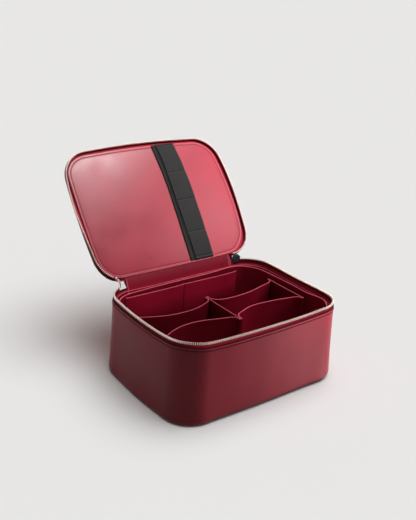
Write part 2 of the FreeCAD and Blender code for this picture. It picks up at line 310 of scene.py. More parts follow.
def smooth_path(pts, n):
    """Smooth line through points in two or three dimensions, evenly spaced."""
    pts = np.asarray(pts, float)
    d = np.append(0, np.cumsum(np.linalg.norm(np.diff(pts, axis=0), axis=1)))
    k = len(pts)
    h = np.diff(d)
    a = np.zeros((k, k))
    b = np.zeros_like(pts)
    a[0, 0] = a[-1, -1] = 1
    for i in range(1, k - 1):
        a[i, i - 1], a[i, i], a[i, i + 1] = h[i - 1], 2 * (h[i - 1] + h[i]), h[i]
        b[i] = 6 * ((pts[i + 1] - pts[i]) / h[i] - (pts[i] - pts[i - 1]) / h[i - 1])
    mm = np.linalg.solve(a, b)

    def ev(t):
        i = min(max(np.searchsorted(d, t) - 1, 0), k - 2)
        x, y = d[i + 1] - t, t - d[i]
        return ((mm[i] * x ** 3 + mm[i + 1] * y ** 3) / (6 * h[i])
                + (pts[i] / h[i] - mm[i] * h[i] / 6) * x + (pts[i + 1] / h[i] - mm[i + 1] * h[i] / 6) * y)
    fine = np.array([ev(t) for t in np.linspace(0, d[-1], n * 6)])
    e = np.append(0, np.cumsum(np.linalg.norm(np.diff(fine, axis=0), axis=1)))
    u = np.linspace(0, e[-1], n)
    return np.stack([np.interp(u, e, fine[:, c]) for c in range(pts.shape[1])], 1), u


def tangents(p):
    t = np.gradient(p, axis=0)
    return t / np.linalg.norm(t, axis=1)[:, None]


# ------------------------------------------------------------------ materials
def nodes_of(name):
    mat = bpy.data.materials.new(name)
    mat.use_nodes = True
    nt = mat.node_tree
    nt.nodes.clear()
    out = nt.nodes.new("ShaderNodeOutputMaterial")
    bsdf = nt.nodes.new("ShaderNodeBsdfPrincipled")
    nt.links.new(bsdf.outputs["BSDF"], out.inputs["Surface"])
    return mat, nt, bsdf


def node(nt, kind, **props):
    q = nt.nodes.new(kind)
    for k, v in props.items():
        setattr(q, k, v)
    return q


def tex(nt, kind, vec, **ins):
    q = nt.nodes.new(kind)
    for k, v in ins.items():
        q.inputs[k.replace("_", " ")].default_value = v
    if vec is not None:
        nt.links.new(vec, q.inputs["Vector"])
    return q


def mix_col(nt, fac, a, b, blend="MIX"):
    q = node(nt, "ShaderNodeMix", data_type="RGBA", blend_type=blend)
    for sock, val in ((q.inputs[0], fac), (q.inputs[6], a), (q.inputs[7], b)):
        if hasattr(val, "is_output") or hasattr(val, "links"):
            nt.links.new(val, sock)
        else:
            sock.default_value = val if not hasattr(val, "__len__") else tuple(val) + (1.0,) * (4 - len(val))
    return q.outputs[2]


def remap(nt, val, a, b, c, d, smooth=False):
    q = node(nt, "ShaderNodeMapRange", interpolation_type="SMOOTHSTEP" if smooth else "LINEAR")
    nt.links.new(val, q.inputs[0])
    for k, x in zip((1, 2, 3, 4), (a, b, c, d)):
        q.inputs[k].default_value = x
    return q.outputs[0]


def math_node(nt, op, a, b=None):
    q = node(nt, "ShaderNodeMath", operation=op)
    for sock, val in ((q.inputs[0], a), (q.inputs[1], b)):
        if val is None:
            continue
        if hasattr(val, "is_output"):
            nt.links.new(val, sock)
        else:
            sock.default_value = val
    return q.outputs[0]


def bump(nt, bsdf, height, strength, distance):
    q = node(nt, "ShaderNodeBump")
    q.inputs["Strength"].default_value = strength
    q.inputs["Distance"].default_value = distance
    nt.links.new(height, q.inputs["Height"])
    nt.links.new(q.outputs["Normal"], bsdf.inputs["Normal"])


def leather(name, base, pale_wear_and_sheen, rough=0.40, grain=1.0, vary=0.10, spec=0.5):
    """Smooth full-grain leather: faint pebble, pores, uneven dye, and paler where the wear attribute is set: real wear
    on some edges, painted highlight and sheen on others.
    """
    mat, nt, bsdf = nodes_of(name)
    co = node(nt, "ShaderNodeTexCoord").outputs["Object"]
    big = tex(nt, "ShaderNodeTexNoise", co, Scale=26.0, Detail=5.0, Roughness=0.55)
    mid = tex(nt, "ShaderNodeTexNoise", co, Scale=310.0, Detail=3.0, Roughness=0.6)
    peb = tex(nt, "ShaderNodeTexVoronoi", co, Scale=1250.0)
    peb.feature = "SMOOTH_F1"
    pore = tex(nt, "ShaderNodeTexNoise", co, Scale=3400.0, Detail=2.0)
    lo = [c * (1 - vary) for c in base]
    hi = [c * (1 + vary) for c in base]
    col = mix_col(nt, remap(nt, big.outputs["Fac"], 0.32, 0.68, 0.0, 1.0), lo, hi)
    col = mix_col(nt, remap(nt, mid.outputs["Fac"], 0.35, 0.75, 0.0, 0.22), col, [c * 0.72 for c in base])
    col = mix_col(nt, remap(nt, peb.outputs["Distance"], 0.25, 0.75, 0.0, 0.20), col, [c * 0.62 for c in base])
    # paler colour where the wear attribute is set: wear on the tub's foot and the lid's edge, painted highlight under
    # the tub's rim, painted sheen on the hinge lining's top
    wear_and_sheen = node(nt, "ShaderNodeAttribute", attribute_name="wear_and_sheen").outputs["Fac"]
    wear_and_sheen_mask = math_node(nt, "MULTIPLY", wear_and_sheen, remap(nt, mid.outputs["Fac"], 0.3, 0.7, 0.45, 1.0))
    col = mix_col(nt, wear_and_sheen_mask, col, pale_wear_and_sheen)
    nt.links.new(col, bsdf.inputs["Base Color"])
    nt.links.new(remap(nt, big.outputs["Fac"], 0.3, 0.7, rough - 0.05, rough + 0.05), bsdf.inputs["Roughness"])
    h = math_node(nt, "MULTIPLY_ADD", math_node(nt, "MINIMUM", peb.outputs["Distance"], 0.5), -0.9)
    h.node.inputs[2].default_value = 0.9
    h = math_node(nt, "ADD", h, math_node(nt, "MULTIPLY", pore.outputs["Fac"], 0.35))
    h = math_node(nt, "ADD", h, math_node(nt, "MULTIPLY", mid.outputs["Fac"], 0.9))
    bump(nt, bsdf, h, 0.16 * grain, 0.00014)
    bsdf.inputs["Specular IOR Level"].default_value = spec
    return mat


def cut_edge(name, base, spec=0.2):
    """Sanded and painted leather edge with its fibre showing."""
    mat, nt, bsdf = nodes_of(name)
    co = node(nt, "ShaderNodeTexCoord").outputs["Object"]
    a = tex(nt, "ShaderNodeTexNoise", co, Scale=700.0, Detail=4.0)
    b = tex(nt, "ShaderNodeTexNoise", co, Scale=60.0, Detail=3.0)
    col = mix_col(nt, remap(nt, a.outputs["Fac"], 0.3, 0.7, 0.0, 1.0), [c * 0.78 for c in base], [c * 1.18 for c in base])
    col = mix_col(nt, remap(nt, b.outputs["Fac"], 0.35, 0.7, 0.0, 0.35), col, [c * 0.7 for c in base])
    nt.links.new(col, bsdf.inputs["Base Color"])
    nt.links.new(remap(nt, a.outputs["Fac"], 0.3, 0.7, 0.42, 0.6), bsdf.inputs["Roughness"])
    bump(nt, bsdf, a.outputs["Fac"], 0.3, 0.0001)
    bsdf.inputs["Specular IOR Level"].default_value = spec
    return mat


def woven(name, base, pitch, rough=0.7, diag=1.0, along=1.0, depth=0.00012, low=0.5, high=1.25):
    """Woven tape: raised diagonal ribs over a fine warp, along the strip's own length."""
    mat, nt, bsdf = nodes_of(name)
    uv = node(nt, "ShaderNodeTexCoord").outputs["UV"]
    sep = node(nt, "ShaderNodeSeparateXYZ")
    nt.links.new(uv, sep.inputs[0])
    k = 2 * pi / pitch
    d1 = math_node(nt, "ADD", math_node(nt, "MULTIPLY", sep.outputs[0], k * along),
                   math_node(nt, "MULTIPLY", sep.outputs[1], k * diag))
    rib = remap(nt, math_node(nt, "SINE", d1), -1.0, 1.0, 0.0, 1.0)
    weft = remap(nt, math_node(nt, "SINE", math_node(nt, "MULTIPLY", sep.outputs[1], k * 2.7)), -1.0, 1.0, 0.0, 1.0)
    co = node(nt, "ShaderNodeTexCoord").outputs["Object"]
    fuzz = tex(nt, "ShaderNodeTexNoise", co, Scale=1500.0, Detail=3.0)
    big = tex(nt, "ShaderNodeTexNoise", co, Scale=45.0, Detail=3.0)
    # painted shade and highlight: colour darker in the rib grooves and weft lines, paler on the rib ridges
    col = mix_col(nt, rib, [c * low for c in base], [c * high for c in base])
    col = mix_col(nt, remap(nt, weft, 0.0, 1.0, 0.0, 0.25), col, [c * 0.6 for c in base])
    col = mix_col(nt, remap(nt, fuzz.outputs["Fac"], 0.35, 0.7, 0.0, 0.4), col, [c * 1.5 for c in base])
    col = mix_col(nt, remap(nt, big.outputs["Fac"], 0.35, 0.7, 0.0, 0.25), col, [c * 0.7 for c in base])
    nt.links.new(col, bsdf.inputs["Base Color"])
    nt.links.new(remap(nt, fuzz.outputs["Fac"], 0.3, 0.7, rough - 0.06, rough + 0.1), bsdf.inputs["Roughness"])
    h = math_node(nt, "ADD", rib, math_node(nt, "MULTIPLY", weft, 0.35))
    h = math_node(nt, "ADD", h, math_node(nt, "MULTIPLY", fuzz.outputs["Fac"], 0.3))
    bump(nt, bsdf, h, 0.5, depth)
    bsdf.inputs["Specular IOR Level"].default_value = 0.18
    return mat


def metal(name, base, rough, vary=0.12, metallic=1.0):
    mat, nt, bsdf = nodes_of(name)
    co = node(nt, "ShaderNodeTexCoord").outputs["Object"]
    a = tex(nt, "ShaderNodeTexNoise", co, Scale=420.0, Detail=4.0)
    b = tex(nt, "ShaderNodeTexNoise", co, Scale=2600.0, Detail=2.0)
    col = mix_col(nt, remap(nt, a.outputs["Fac"], 0.3, 0.7, 0.0, 1.0),
                  [c * (1 - vary) for c in base], [c * (1 + vary * 0.6) for c in base])
    nt.links.new(col, bsdf.inputs["Base Color"])
    nt.links.new(remap(nt, b.outputs["Fac"], 0.3, 0.7, rough - 0.06, rough + 0.08), bsdf.inputs["Roughness"])
    bsdf.inputs["Metallic"].default_value = metallic
    bump(nt, bsdf, b.outputs["Fac"], 0.08, 0.00005)
    return mat


def fibre(name, base, scale, rough=0.85, depth=0.0002, spec=0.5):
    mat, nt, bsdf = nodes_of(name)
    bsdf.inputs["Specular IOR Level"].default_value = spec
    co = node(nt, "ShaderNodeTexCoord").outputs["Object"]
    a = tex(nt, "ShaderNodeTexNoise", co, Scale=scale, Detail=5.0)
    b = tex(nt, "ShaderNodeTexNoise", co, Scale=scale * 0.08, Detail=3.0)
    col = mix_col(nt, remap(nt, a.outputs["Fac"], 0.3, 0.7, 0.0, 1.0), [c * 0.7 for c in base], [c * 1.2 for c in base])
    col = mix_col(nt, remap(nt, b.outputs["Fac"], 0.3, 0.7, 0.0, 0.3), col, [c * 0.75 for c in base])
    nt.links.new(col, bsdf.inputs["Base Color"])
    nt.links.new(remap(nt, a.outputs["Fac"], 0.3, 0.7, rough - 0.1, min(rough + 0.1, 1.0)), bsdf.inputs["Roughness"])
    bump(nt, bsdf, a.outputs["Fac"], 0.4, depth)
    return mat


RED = (0.150, 0.0066, 0.0150)
# PINK, far paler than the lining leather, is painted highlight for the lit cut edges and folds
PINK = (0.45, 0.068, 0.104)
M_OUT = leather("leather_outer", RED, (0.30, 0.042, 0.058), rough=0.40, spec=0.19)
M_LIN = leather("leather_lining", (0.165, 0.0036, 0.0145), (0.20, 0.018, 0.030), rough=0.45, spec=0.20)
# the hinge lining's second, paler colour is painted sheen for its upper part
M_HINGE = leather("leather_hinge_lining", (0.150, 0.0042, 0.0140), (0.175, 0.026, 0.038), rough=0.56, spec=0.10)
M_FACE = leather("leather_lid_facing", (0.150, 0.0055, 0.0150), (0.20, 0.018, 0.030), rough=0.52, spec=0.08)
# the rolled-edge colour, a paler copy of the lid lining, is painted highlight on the lid panel's rolled edge
M_ROLL_HIGHLIGHT = cut_edge("leather_rolled_edge_highlight", (0.34, 0.062, 0.082))
M_LID = leather("leather_lid_lining", (0.152, 0.0070, 0.0165), (0.20, 0.020, 0.032), rough=0.32, grain=0.7, spec=0.25)
M_EDGE_HIGHLIGHT = cut_edge("leather_cut_edge_highlight", PINK)
# dark edge colour: partly real edge paint, partly painted shade of the gap between zip tape and leather
M_RIM_PAINT_AND_SHADE = cut_edge("leather_rim_paint_and_shade", (0.030, 0.0018, 0.0050), spec=0.05)
M_TAPE = woven("zip_tape", (0.200, 0.0060, 0.0180), 0.0009)
# the webbing's ribs get a strong light and dark colour contrast: painted highlight and shade
M_RIB = woven("band_webbing", (0.0105, 0.0105, 0.0100), 0.0035, diag=-0.75, depth=0.0004, low=0.2, high=2.1)
M_ELA = woven("band_elastic", (0.0095, 0.0090, 0.0088), 0.0008, diag=0.0, along=1.0, rough=0.8)
M_METAL = metal("zip_metal", (0.78, 0.68, 0.60), 0.36, metallic=0.6)
M_DARK = metal("slider_metal", (0.032, 0.036, 0.047), 0.38, metallic=0.4)
# near-black sheet: painted shade beside the elastic, and a thin dark line on the webbing's left edge
M_GAP = woven("band_shade", (0.0016, 0.0015, 0.0015), 0.0012, rough=0.9)
M_THREAD = fibre("thread_red", (0.028, 0.0018, 0.0042), 2400.0, rough=0.7, spec=0.06)
M_THREAD_D = fibre("thread_dark_red", (0.012, 0.0010, 0.0022), 2400.0, rough=0.75, spec=0.04)
M_THREAD_K = fibre("thread_black", (0.010, 0.010, 0.010), 2400.0, rough=0.75)
M_BOARD = fibre("greyboard", (0.23, 0.20, 0.17), 900.0)
M_FOAM = fibre("foam", (0.50, 0.46, 0.40), 1600.0, rough=0.95)

for nm in ("tub_wall_board", "tub_base_board", "lid_board"):
    o = frame["nodes"][nm]
    o.data.materials.clear()
    o.data.materials.append(M_BOARD)

# ------------------------------------------------------------------ the tub
N = len(S_ALL)
flare_w = 1.9 * near_corner(S_ALL, 38.0, (0, 2)) + 3.7 * near_corner(S_ALL, 38.0, (1,)) + 3.6 * near_corner(S_ALL, 36.0, (3,))


def lift(ss):
    """How far the edge rises at the front left corner and along the left side."""
    return 2.2 * bump_at(ss, CORNER_MID[2], 26.0) + 0.8 * bump_at(ss, S_LEFT, 50.0)


def tub_shape(off, z):
    """Soft shape of the wall: it spreads a little at the foot of the corners."""
    off = np.broadcast_to(off, (N, np.shape(off)[-1])).copy()
    z = np.broadcast_to(z, off.shape).copy()
    foot = np.clip((96.0 - z) / 96.0, 0, 1) ** 1.6
    off -= flare_w[:, None] * foot
    left = bump_at(S_ALL, S_LEFT, 56.0)[:, None]
    low = np.clip((7.0 - z) / 7.0, 0, 1) * (off < 6.8)
    off -= 1.8 * left * np.clip((18.0 - z) / 18.0, 0, 1) ** 1.3
    z = np.where(low > 0, z * (1 - 0.35 * left * np.clip(low * 3, 0, 1)), z)
    off += 0.16 * wob(S_ALL, 3.0, 90.0)[:, None] * np.sin(pi * np.clip(z, 0, 96) / 96)
    z = z + lift(S_ALL)[:, None] * np.clip((z - 82.0) / 10.0, 0, 1)
    return off, z


fil = [(6.7 - 6.7 * cos(a), 6.7 - 6.7 * sin(a)) for a in np.linspace(0, pi / 2, 10)]
fin = [(6.7 - 5.25 * cos(a), 6.7 - 5.25 * sin(a)) for a in np.linspace(pi / 2, 0, 8)]
prof = [(1.45, 86.0), (1.42, 93.2), (1.30, 94.1), (1.10, 94.6), (0.78, 94.86), (0.42, 94.8), (0.12, 94.45),
        (0.0, 93.9), (0.0, 93.0), (0.02, 92.3), (0.15, 91.7), (0.26, 91.2), (0.15, 90.7), (0.02, 90.0),
        (0.0, 89.0), (0.0, 84), (0.0, 77), (0.0, 68), (0.0, 58), (0.0, 48), (0.0, 38), (0.0, 29), (0.0, 21),
        (0.0, 14), (0.0, 9.5)] + fil + [(9.5, 0.0), (12.4, 0.0), (12.86, 0.2), (13.0, 0.65), (12.9, 1.3), (9.5, 1.42)] \
    + fin + [(1.45, 12.0), (1.45, 45.0)]
off = np.array([p[0] for p in prof])
zz = np.array([p[1] for p in prof])
o2, z2 = tub_shape(off, zz)
# paler band under the rounded top edge: partly wear, partly painted highlight on the lit edge; paler band round the
# foot: wear
wear_and_sheen = np.array([0.45 * math.exp(-((z - 92.7) / 0.35) ** 2) * (o < 0.2) + 0.35 * math.exp(-((z - 2.0) / 1.6) ** 2) * (o < 6.0)
                 for o, z in prof])
# the top faces, down over the top of the outer face, take the dark edge paint and painted shade
mat = [1 if j < 7 else 0 for j in range(len(prof))]
a = Acc()
a.grid(ringed(o2, z2), True, True, U_ALL, prof_len(off, zz), m=mat, w=wear_and_sheen[None, :] * np.ones((N, 1)))
skin = a.build("tub_skin", [M_OUT, M_RIM_PAINT_AND_SHADE], "tub", ("tub_outer_leather",))

# sewn row below the edge
a = Acc()
pitch = TOTAL / round(TOTAL / 3.05)
for k in range(round(TOTAL / 3.05)):
    s = k * pitch
    (x, y), (nx, ny) = at(s)
    stitch(a, (x - 0.12 * nx, y - 0.12 * ny, 91.2 + 0.92 * lift(s)), (ny, -nx, 0), (nx, ny, 0), 1.6, 0.66, 0.02)
a.build("tub_edge_stitches", [M_THREAD_D], "tub")

# underside: panel with a turned edge, sewn round
rings = [13.4, 17, 22, 28, 34]
off = [13.2, 13.12, 13.25, 13.7] + rings[1:]
zz = [1.38, 0.7, 0.22, 0.05] + [0.0, 0.08, 0.14, 0.16]
v = ringed(off, zz)
inner = v[:, -1:].copy()
more = [inner * np.array([t, t, 1.0]) for t in (0.8, 0.55, 0.3, 0.1)]
v = np.concatenate([v] + more, axis=1)
back_rim = ringed([13.2], [1.38])
a = Acc()
a.grid(np.concatenate([back_rim * np.array([0.2, 0.2, 1]), back_rim * np.array([0.7, 0.7, 1]), v], axis=1),
       True, False, U_ALL, None, fan_first=True, fan_last=True)
a.build("base_panel", [M_OUT], "tub", ("tub_base_leather",))
a = Acc()
tb = TOTAL - 2 * pi * 16.0
nst = round(tb / 3.1)
for k in range(nst):
    s = TOTAL * k / nst
    (x, y), (nx, ny) = at(s)
    stitch(a, (x - 16.0 * nx, y - 16.0 * ny, 0.06), (ny, -nx, 0), (0, 0, -1), 2.0, 0.2, -0.12)
a.build("base_stitches", [M_THREAD], "tub")

# lining of the wall, turned over the top of the board
prof = [(3.6, 8.0), (3.6, 88.0), (2.4, 90.0), (2.02, 92.4), (2.1, 93.0), (2.5, 93.3), (3.0, 93.36), (3.5, 93.3), (3.85, 93.0),
        (4.0, 92.5), (4.1, 92.05), (4.3, 92.38), (4.6, 92.45), (4.85, 92.2), (4.88, 91.75), (4.65, 91.2), (4.5, 90.4), (4.5, 86.0),
        (4.5, 70.0), (4.5, 45.0), (4.5, 20.0), (4.5, 5.0)]
off = np.array([p[0] for p in prof])
zz = np.array([p[1] for p in prof])
z2 = np.broadcast_to(zz, (N, len(zz))).copy()
sink = 0.3 * wob(S_ALL, 7.0, 140.0) - 3.0 * bump_at(S_ALL, S_RIGHT, 62.0)
z2[:, 9:] += sink[:, None] * np.clip((zz[9:] - 80) / 8, 0, 1)
# the turned top edge takes the pale cut-edge colour: painted highlight
mat = [1 if 11 <= j <= 14 else 0 for j in range(len(prof))]
a = Acc()
a.grid(ringed(off, z2), True, True, U_ALL, prof_len(off, zz), m=mat)
a.build("wall_lining", [M_LIN, M_EDGE_HIGHLIGHT], "tub", ("tub_wall_lining",))

# floor lining, laid loose and not quite flat
base = ringed([4.6], [4.55])
cols = [base * np.array([1, 1, 1.0])]
for t in (0.985, 0.93, 0.85, 0.75, 0.62, 0.48, 0.33, 0.18, 0.06):
    q = base * np.array([t, t, 1.0])
    q[..., 2] += 0.12 * np.sin(q[..., 0] / 17.0) * np.cos(q[..., 1] / 14.0) * (1 - t) ** 0.3
    cols.append(q)
low = ringed([4.6], [3.65])
a = Acc()
a.grid(np.concatenate([low * np.array([0.3, 0.3, 1]), low] + cols, axis=1), True, False, U_ALL, None,
       fan_first=True, fan_last=True)
a.build("floor_lining", [M_LIN], "tub", ("tub_base_lining",))

# ------------------------------------------------------------------ organiser
top = 89.4 + 2.7 * bump_at(S_ALL, 0.0, 90.0) - 0.9 * bump_at(S_ALL, S_RIGHT, 55.0) + 0.3 * wob(S_ALL, 5.0, 130.0) \
    + 2.4 * bump_at(S_ALL, 76.0, 30.0) + 4.4 * bump_at(S_ALL, STARTS[3] + 4.0, 24.0)
wave = 0.45 * wob(S_ALL, 9.0, 110.0)
dz = [0.9, 0.45, 0.15, 0.03, 0.0, 0.03, 0.15, 0.45, 0.9]
do = [7.0, 7.04, 7.2, 7.45, 7.8, 8.15, 8.4, 8.56, 8.6]
low = [84.0, 76.0, 64.0, 50.0, 36.0, 20.0, 4.7]
offs, zs, mat = [], [], []
for zl in low[::-1]:
    offs.append(np.full(N, 7.0) + wave * (zl / 90) * 0.6)
    zs.append(np.full(N, zl))
for d, o in zip(dz, do):
    offs.append(np.full(N, o) + wave * 0.6)
    zs.append(top - d)
for zl in low:
    offs.append(np.full(N, 8.6) + wave * (zl / 90) * 0.6)
    zs.append(np.full(N, zl))
k0 = len(low)
# the rounded top takes the pale cut-edge colour: painted highlight
mat = [1 if k0 + 2 <= j < k0 + len(dz) - 2 else 0 for j in range(len(offs))]
offs, zs = np.stack(offs, 1), np.stack(zs, 1)
a = Acc()
a.grid(ringed(offs, zs), True, True, U_ALL, prof_len(offs, zs), m=mat)
a.build("organiser", [M_LIN, M_EDGE_HIGHLIGHT], "tub", ("organiser_wall",))


def strip_profile(t, z0, top_z):
    """Section of a leather strip standing on edge, with a rounded cut top."""
    h = t / 2
    zs_low = [z0, z0 + 12, z0 + 28, z0 + 46, z0 + 62, top_z - 5.0, top_z - 1.6]
    left = [(-h, z) for z in zs_low]
    crown = [(-h, top_z - 0.8), (-h * 0.86, top_z - 0.35), (-h * 0.5, top_z - 0.07), (0.0, top_z),
             (h * 0.5, top_z - 0.07), (h * 0.86, top_z - 0.35), (h, top_z - 0.8)]
    right = [(h, z) for z in zs_low[::-1]]
    pr = left + crown + right
    # the rounded top takes the pale cut-edge colour: painted highlight
    m = [1 if len(left) + 1 <= j < len(left) + len(crown) - 1 else 0 for j in range(len(pr))]
    return np.array(pr), m


def standing(acc, path, t, z0, top_z, sag=None, bulge=None):
    p, u = path
    tg = tangents(p)
    nr = np.stack([-tg[:, 1], tg[:, 0]], 1)
    pr, m = strip_profile(t, z0, top_z)
    v = np.zeros((len(p), len(pr), 3))
    hrel = np.clip((pr[:, 1] - z0) / (top_z - z0), 0, 1)
    for i in range(len(p)):
        b = 0.0 if bulge is None else bulge[i]
        lat = pr[:, 0] + b * np.sin(pi * hrel)
        v[i, :, 0] = p[i, 0] + nr[i, 0] * lat
        v[i, :, 1] = p[i, 1] + nr[i, 1] * lat
        v[i, :, 2] = pr[:, 1] + (0.0 if sag is None else sag[i] * hrel ** 3)
    acc.grid(v, False, True, u, prof_len(pr[:, 0], pr[:, 1]), m=m, cap=True)
    return p, tg, nr


XL, XM, XR = -106.0, 1.2, 106.0
TAB = 1.75
back_left = [(XL + TAB, 38.5), (XL + TAB + 0.2, 34.0), (XL + TAB + 4.0, 30.2), (-90.0, 25.4), (-72.9, 19.4), (-47.0, 16.3),
             (-24.0, 18.4), (-9.5, 23.4), (XM - TAB - 2.2, 27.4), (XM - TAB - 0.1, 32.0), (XM - TAB, 37.0)]
back_right = [(XM + TAB, 37.0), (XM + TAB + 0.1, 30.6), (XM + TAB + 3.2, 25.6), (12.0, 22.2), (25.0, 20.1), (50.0, 21.0),
              (72.0, 24.6), (88.0, 28.4), (XR - TAB - 3.6, 31.6), (XR - TAB - 0.3, 34.8), (XR - TAB, 38.8)]
front_left = [(XL + TAB, -34.0), (XL + TAB + 0.2, -29.0), (XL + TAB + 4.0, -24.6), (-84.0, -16.0), (-60.0, -11.6),
              (-33.0, -15.2), (-12.0, -21.0), (XM - TAB - 2.6, -24.6), (XM - TAB - 0.1, -28.6), (XM - TAB, -33.0)]
front_right = [(XM + TAB, -33.0), (XM + TAB + 0.1, -27.0), (XM + TAB + 3.0, -21.4), (13.6, -17.6), (29.7, -12.2), (51.7, -11.6),
               (74.4, -14.0), (93.0, -18.0), (XR - TAB - 2.6, -21.2), (XR - TAB - 0.1, -24.8), (XR - TAB, -28.6)]
tabs = Acc()
for nm, pts, side in (("divider_back_left", back_left, 1), ("divider_back_right", back_right, 1),
                      ("divider_front_left", front_left, -1), ("divider_front_right", front_right, -1)):
    path = smooth_path(pts, 70)
    u = path[1] / path[1][-1]
    a = Acc()
    rise = 1.2 * u ** 4 if "right" in nm else 0.0
    p, tg, nr = standing(a, path, 1.55, 4.7, 84.0, 0.25 * np.sin(2 * pi * u + side) + rise,
                         0.5 * np.sin(pi * u) * np.sin(3 * pi * u + 1.0))
    a.build(nm + "_strip", [M_LIN, M_EDGE_HIGHLIGHT], "tub", (nm,))
    # two sewn lines hold each tab to its cross strip
    for end in (3, len(p) - 4):
        out = 1.0 if (p[end][0] > 60 or (-60 < p[end][0] < 1.2)) else -1.0
        for z in np.arange(9.0, 81.0, 3.2):
            x = p[end][0] - out * 0.80
            stitch(tabs, (x, p[end][1], z), (0, 0, 1), (-out, 0, 0), 2.2, 0.22, -0.02)
tabs.build("divider_stitches", [M_THREAD], "tub")
for nm, x, y0, y1 in (("cross_strip_left", XL, -34.0, 38.5), ("cross_strip_centre", XM, -33.0, 37.0),
                      ("cross_strip_right", XR, -28.6, 38.8)):
    yy = np.linspace(y0, y1, 40)
    u = (yy - y0) / (y1 - y0)
    path = (np.stack([np.full(40, x), yy], 1), yy - y0)
    a = Acc()
    standing(a, path, 1.55, 4.7, 84.0, -0.35 * np.sin(pi * u) + (1.2 if "right" in nm else 0.0), 0.25 * np.sin(2 * pi * u))
    a.build(nm + "_leather", [M_LIN, M_EDGE_HIGHLIGHT], "tub", (nm,))

# flat pocket along the back, sewn at both ends and down the middle
xs = np.unique(np.concatenate([np.linspace(-91, 82, 87), [-5.4, -4.6, -4.0, -3.4, -2.6]]))
seams = (-90.2, -4.0, 81.2)
pull = np.zeros(len(xs))
for q in seams:
    pull = np.maximum(pull, np.exp(-((xs - q) / 1.3) ** 2))
swell = np.where(xs < -4, np.sin(pi * np.clip((xs + 90.2) / 86.2, 0, 1)), np.sin(pi * np.clip((xs + 4) / 85.2, 0, 1)))
pr, m = strip_profile(1.4, 4.7, 86.9)
hrel = np.clip((pr[:, 1] - 4.7) / 82.2, 0, 1)
v = np.zeros((len(xs), len(pr), 3))
for i, x in enumerate(xs):
    y = 77.4 + 1.25 * pull[i] - 0.55 * swell[i] * (0.5 + 0.5 * np.sin(pi * hrel))
    v[i, :, 0] = x
    v[i, :, 1] = y + pr[:, 0]
    v[i, :, 2] = pr[:, 1] - 0.3 * swell[i] * hrel ** 4 + 0.15 * math.sin(x / 13.0)
a = Acc()
a.grid(v, False, True, xs - xs[0], prof_len(pr[:, 0], pr[:, 1]), m=m, cap=True)
a.build("pocket_panel", [M_LIN, M_EDGE_HIGHLIGHT], "tub", ("back_pocket",))
a = Acc()
for q in seams:
    for z in np.arange(8.0, 84.0, 3.1):
        stitch(a, (q, 77.4 + 1.25 - 0.74, z), (0, 0, 1), (0, -1, 0), 2.6, 0.55, 0.0)
a.build("pocket_stitches", [M_THREAD], "tub")

# ------------------------------------------------------------------ zip
S_Z = np.linspace(S_ZIP0, S_ZIP1, 260)
P_Z, N_Z = line(S_Z)


def drop(ss):
    """How far the soft rim hangs below its drawn line."""
    return 0.5 + 0.4 * bump_at(ss, S_FRONT, 95.0) + 0.3 * bump_at(ss, S_LEFT, 60.0) + 1.9 * bump_at(ss, S_RIGHT, 50.0) \
        + 0.4 * bump_at(ss, S_FRONT - 45.0, 40.0) - 1.7 * bump_at(ss, CORNER_MID[2], 26.0)


def tub_lean(ss):
    return 1.7 * bump_at(ss, S_RIGHT, 46.0)


def lid_in(ss):
    """How far the lid's soft edge lies inside its drawn line: in on the left, out on the right."""
    return 3.7 * bump_at(ss, S_LEFT + 14.0, 46.0) - 2.7 * bump_at(ss, S_RIGHT + 28.0, 56.0)


def lid_lean(ss):
    """Lean of the lid's zip: out along the left side and at the hinge end of it."""
    return 5.5 * bump_at(ss, S_LEFT - 2.0, 50.0) + 1.2 * bump_at(ss, S_FRONT, 90.0) + 1.5 * bump_at(ss, S_ZIP1 + 4.0, 26.0)


def tub_zip(ss, off, z):
    ss = np.asarray(ss, float)
    rise = np.clip((z - 93.0) / 9.0, 0, 1.3)
    return off + tub_lean(ss) * rise, z - drop(ss) * np.clip((z - 90.0) / 6.0, 0, 1) - 0.25 * tub_lean(ss) * rise ** 2


def lid_zip(ss, off, z):
    ss = np.asarray(ss, float)
    rise = np.clip((110.2 - z) / 5.6, 0, 1.2)
    ln = lid_lean(ss)
    return off + lid_in(ss) - ln * rise, z + 0.10 * np.abs(ln) * rise ** 2 * 3.0


def tape(name, prof, body, rep, warp, fn=None):
    off = np.array([p[0] for p in prof])
    zz = np.array([p[1] for p in prof])
    off2 = off[None, :] + (0.12 * np.sin(S_Z / 23.0))[:, None]
    off2, z2 = warp(S_Z[:, None], off2, np.broadcast_to(zz, off2.shape))
    a = Acc()
    a.grid(ringed(off2, z2, P_Z, N_Z), False, True, S_Z, prof_len(off, zz), cap=True)
    a.build(name, [M_TAPE], body, rep, fn)


tape("tub_tape", [(1.65, 84.0), (1.6, 90.0), (1.55, 94.0), (1.3, 95.6), (1.1, 97.0), (1.2, 98.3), (1.25, 98.9), (1.25, 99.4),
                  (1.45, 99.75), (1.8, 99.85), (2.15, 99.75), (2.35, 99.4), (2.35, 98.9), (2.2, 98.3), (1.95, 97.0), (2.05, 95.6),
                  (2.15, 94.0), (2.2, 90.0), (2.2, 84.0)], "tub", ("tub_zip_tape",), tub_zip)
tape("lid_tape", [(1.55, 111.4), (1.5, 110.0), (1.35, 109.0), (1.25, 108.2), (1.3, 107.7), (1.25, 107.4), (1.25, 107.0),
                  (1.45, 106.65), (1.8, 106.55), (2.15, 106.65), (2.35, 107.0), (2.35, 107.4), (2.3, 107.7), (2.05, 108.2),
                  (2.0, 109.0), (2.1, 110.0), (2.15, 111.4)], "lid", ("lid_zip_tape",), lid_zip, opened)

TOOTH = ((0.0, 0.36, 0.84), (0.25, 0.46, 1.02), (0.8, 0.52, 1.08), (1.5, 0.52, 1.08), (2.1, 0.48, 1.0),
         (2.6, 0.40, 0.84), (2.92, 0.24, 0.5))


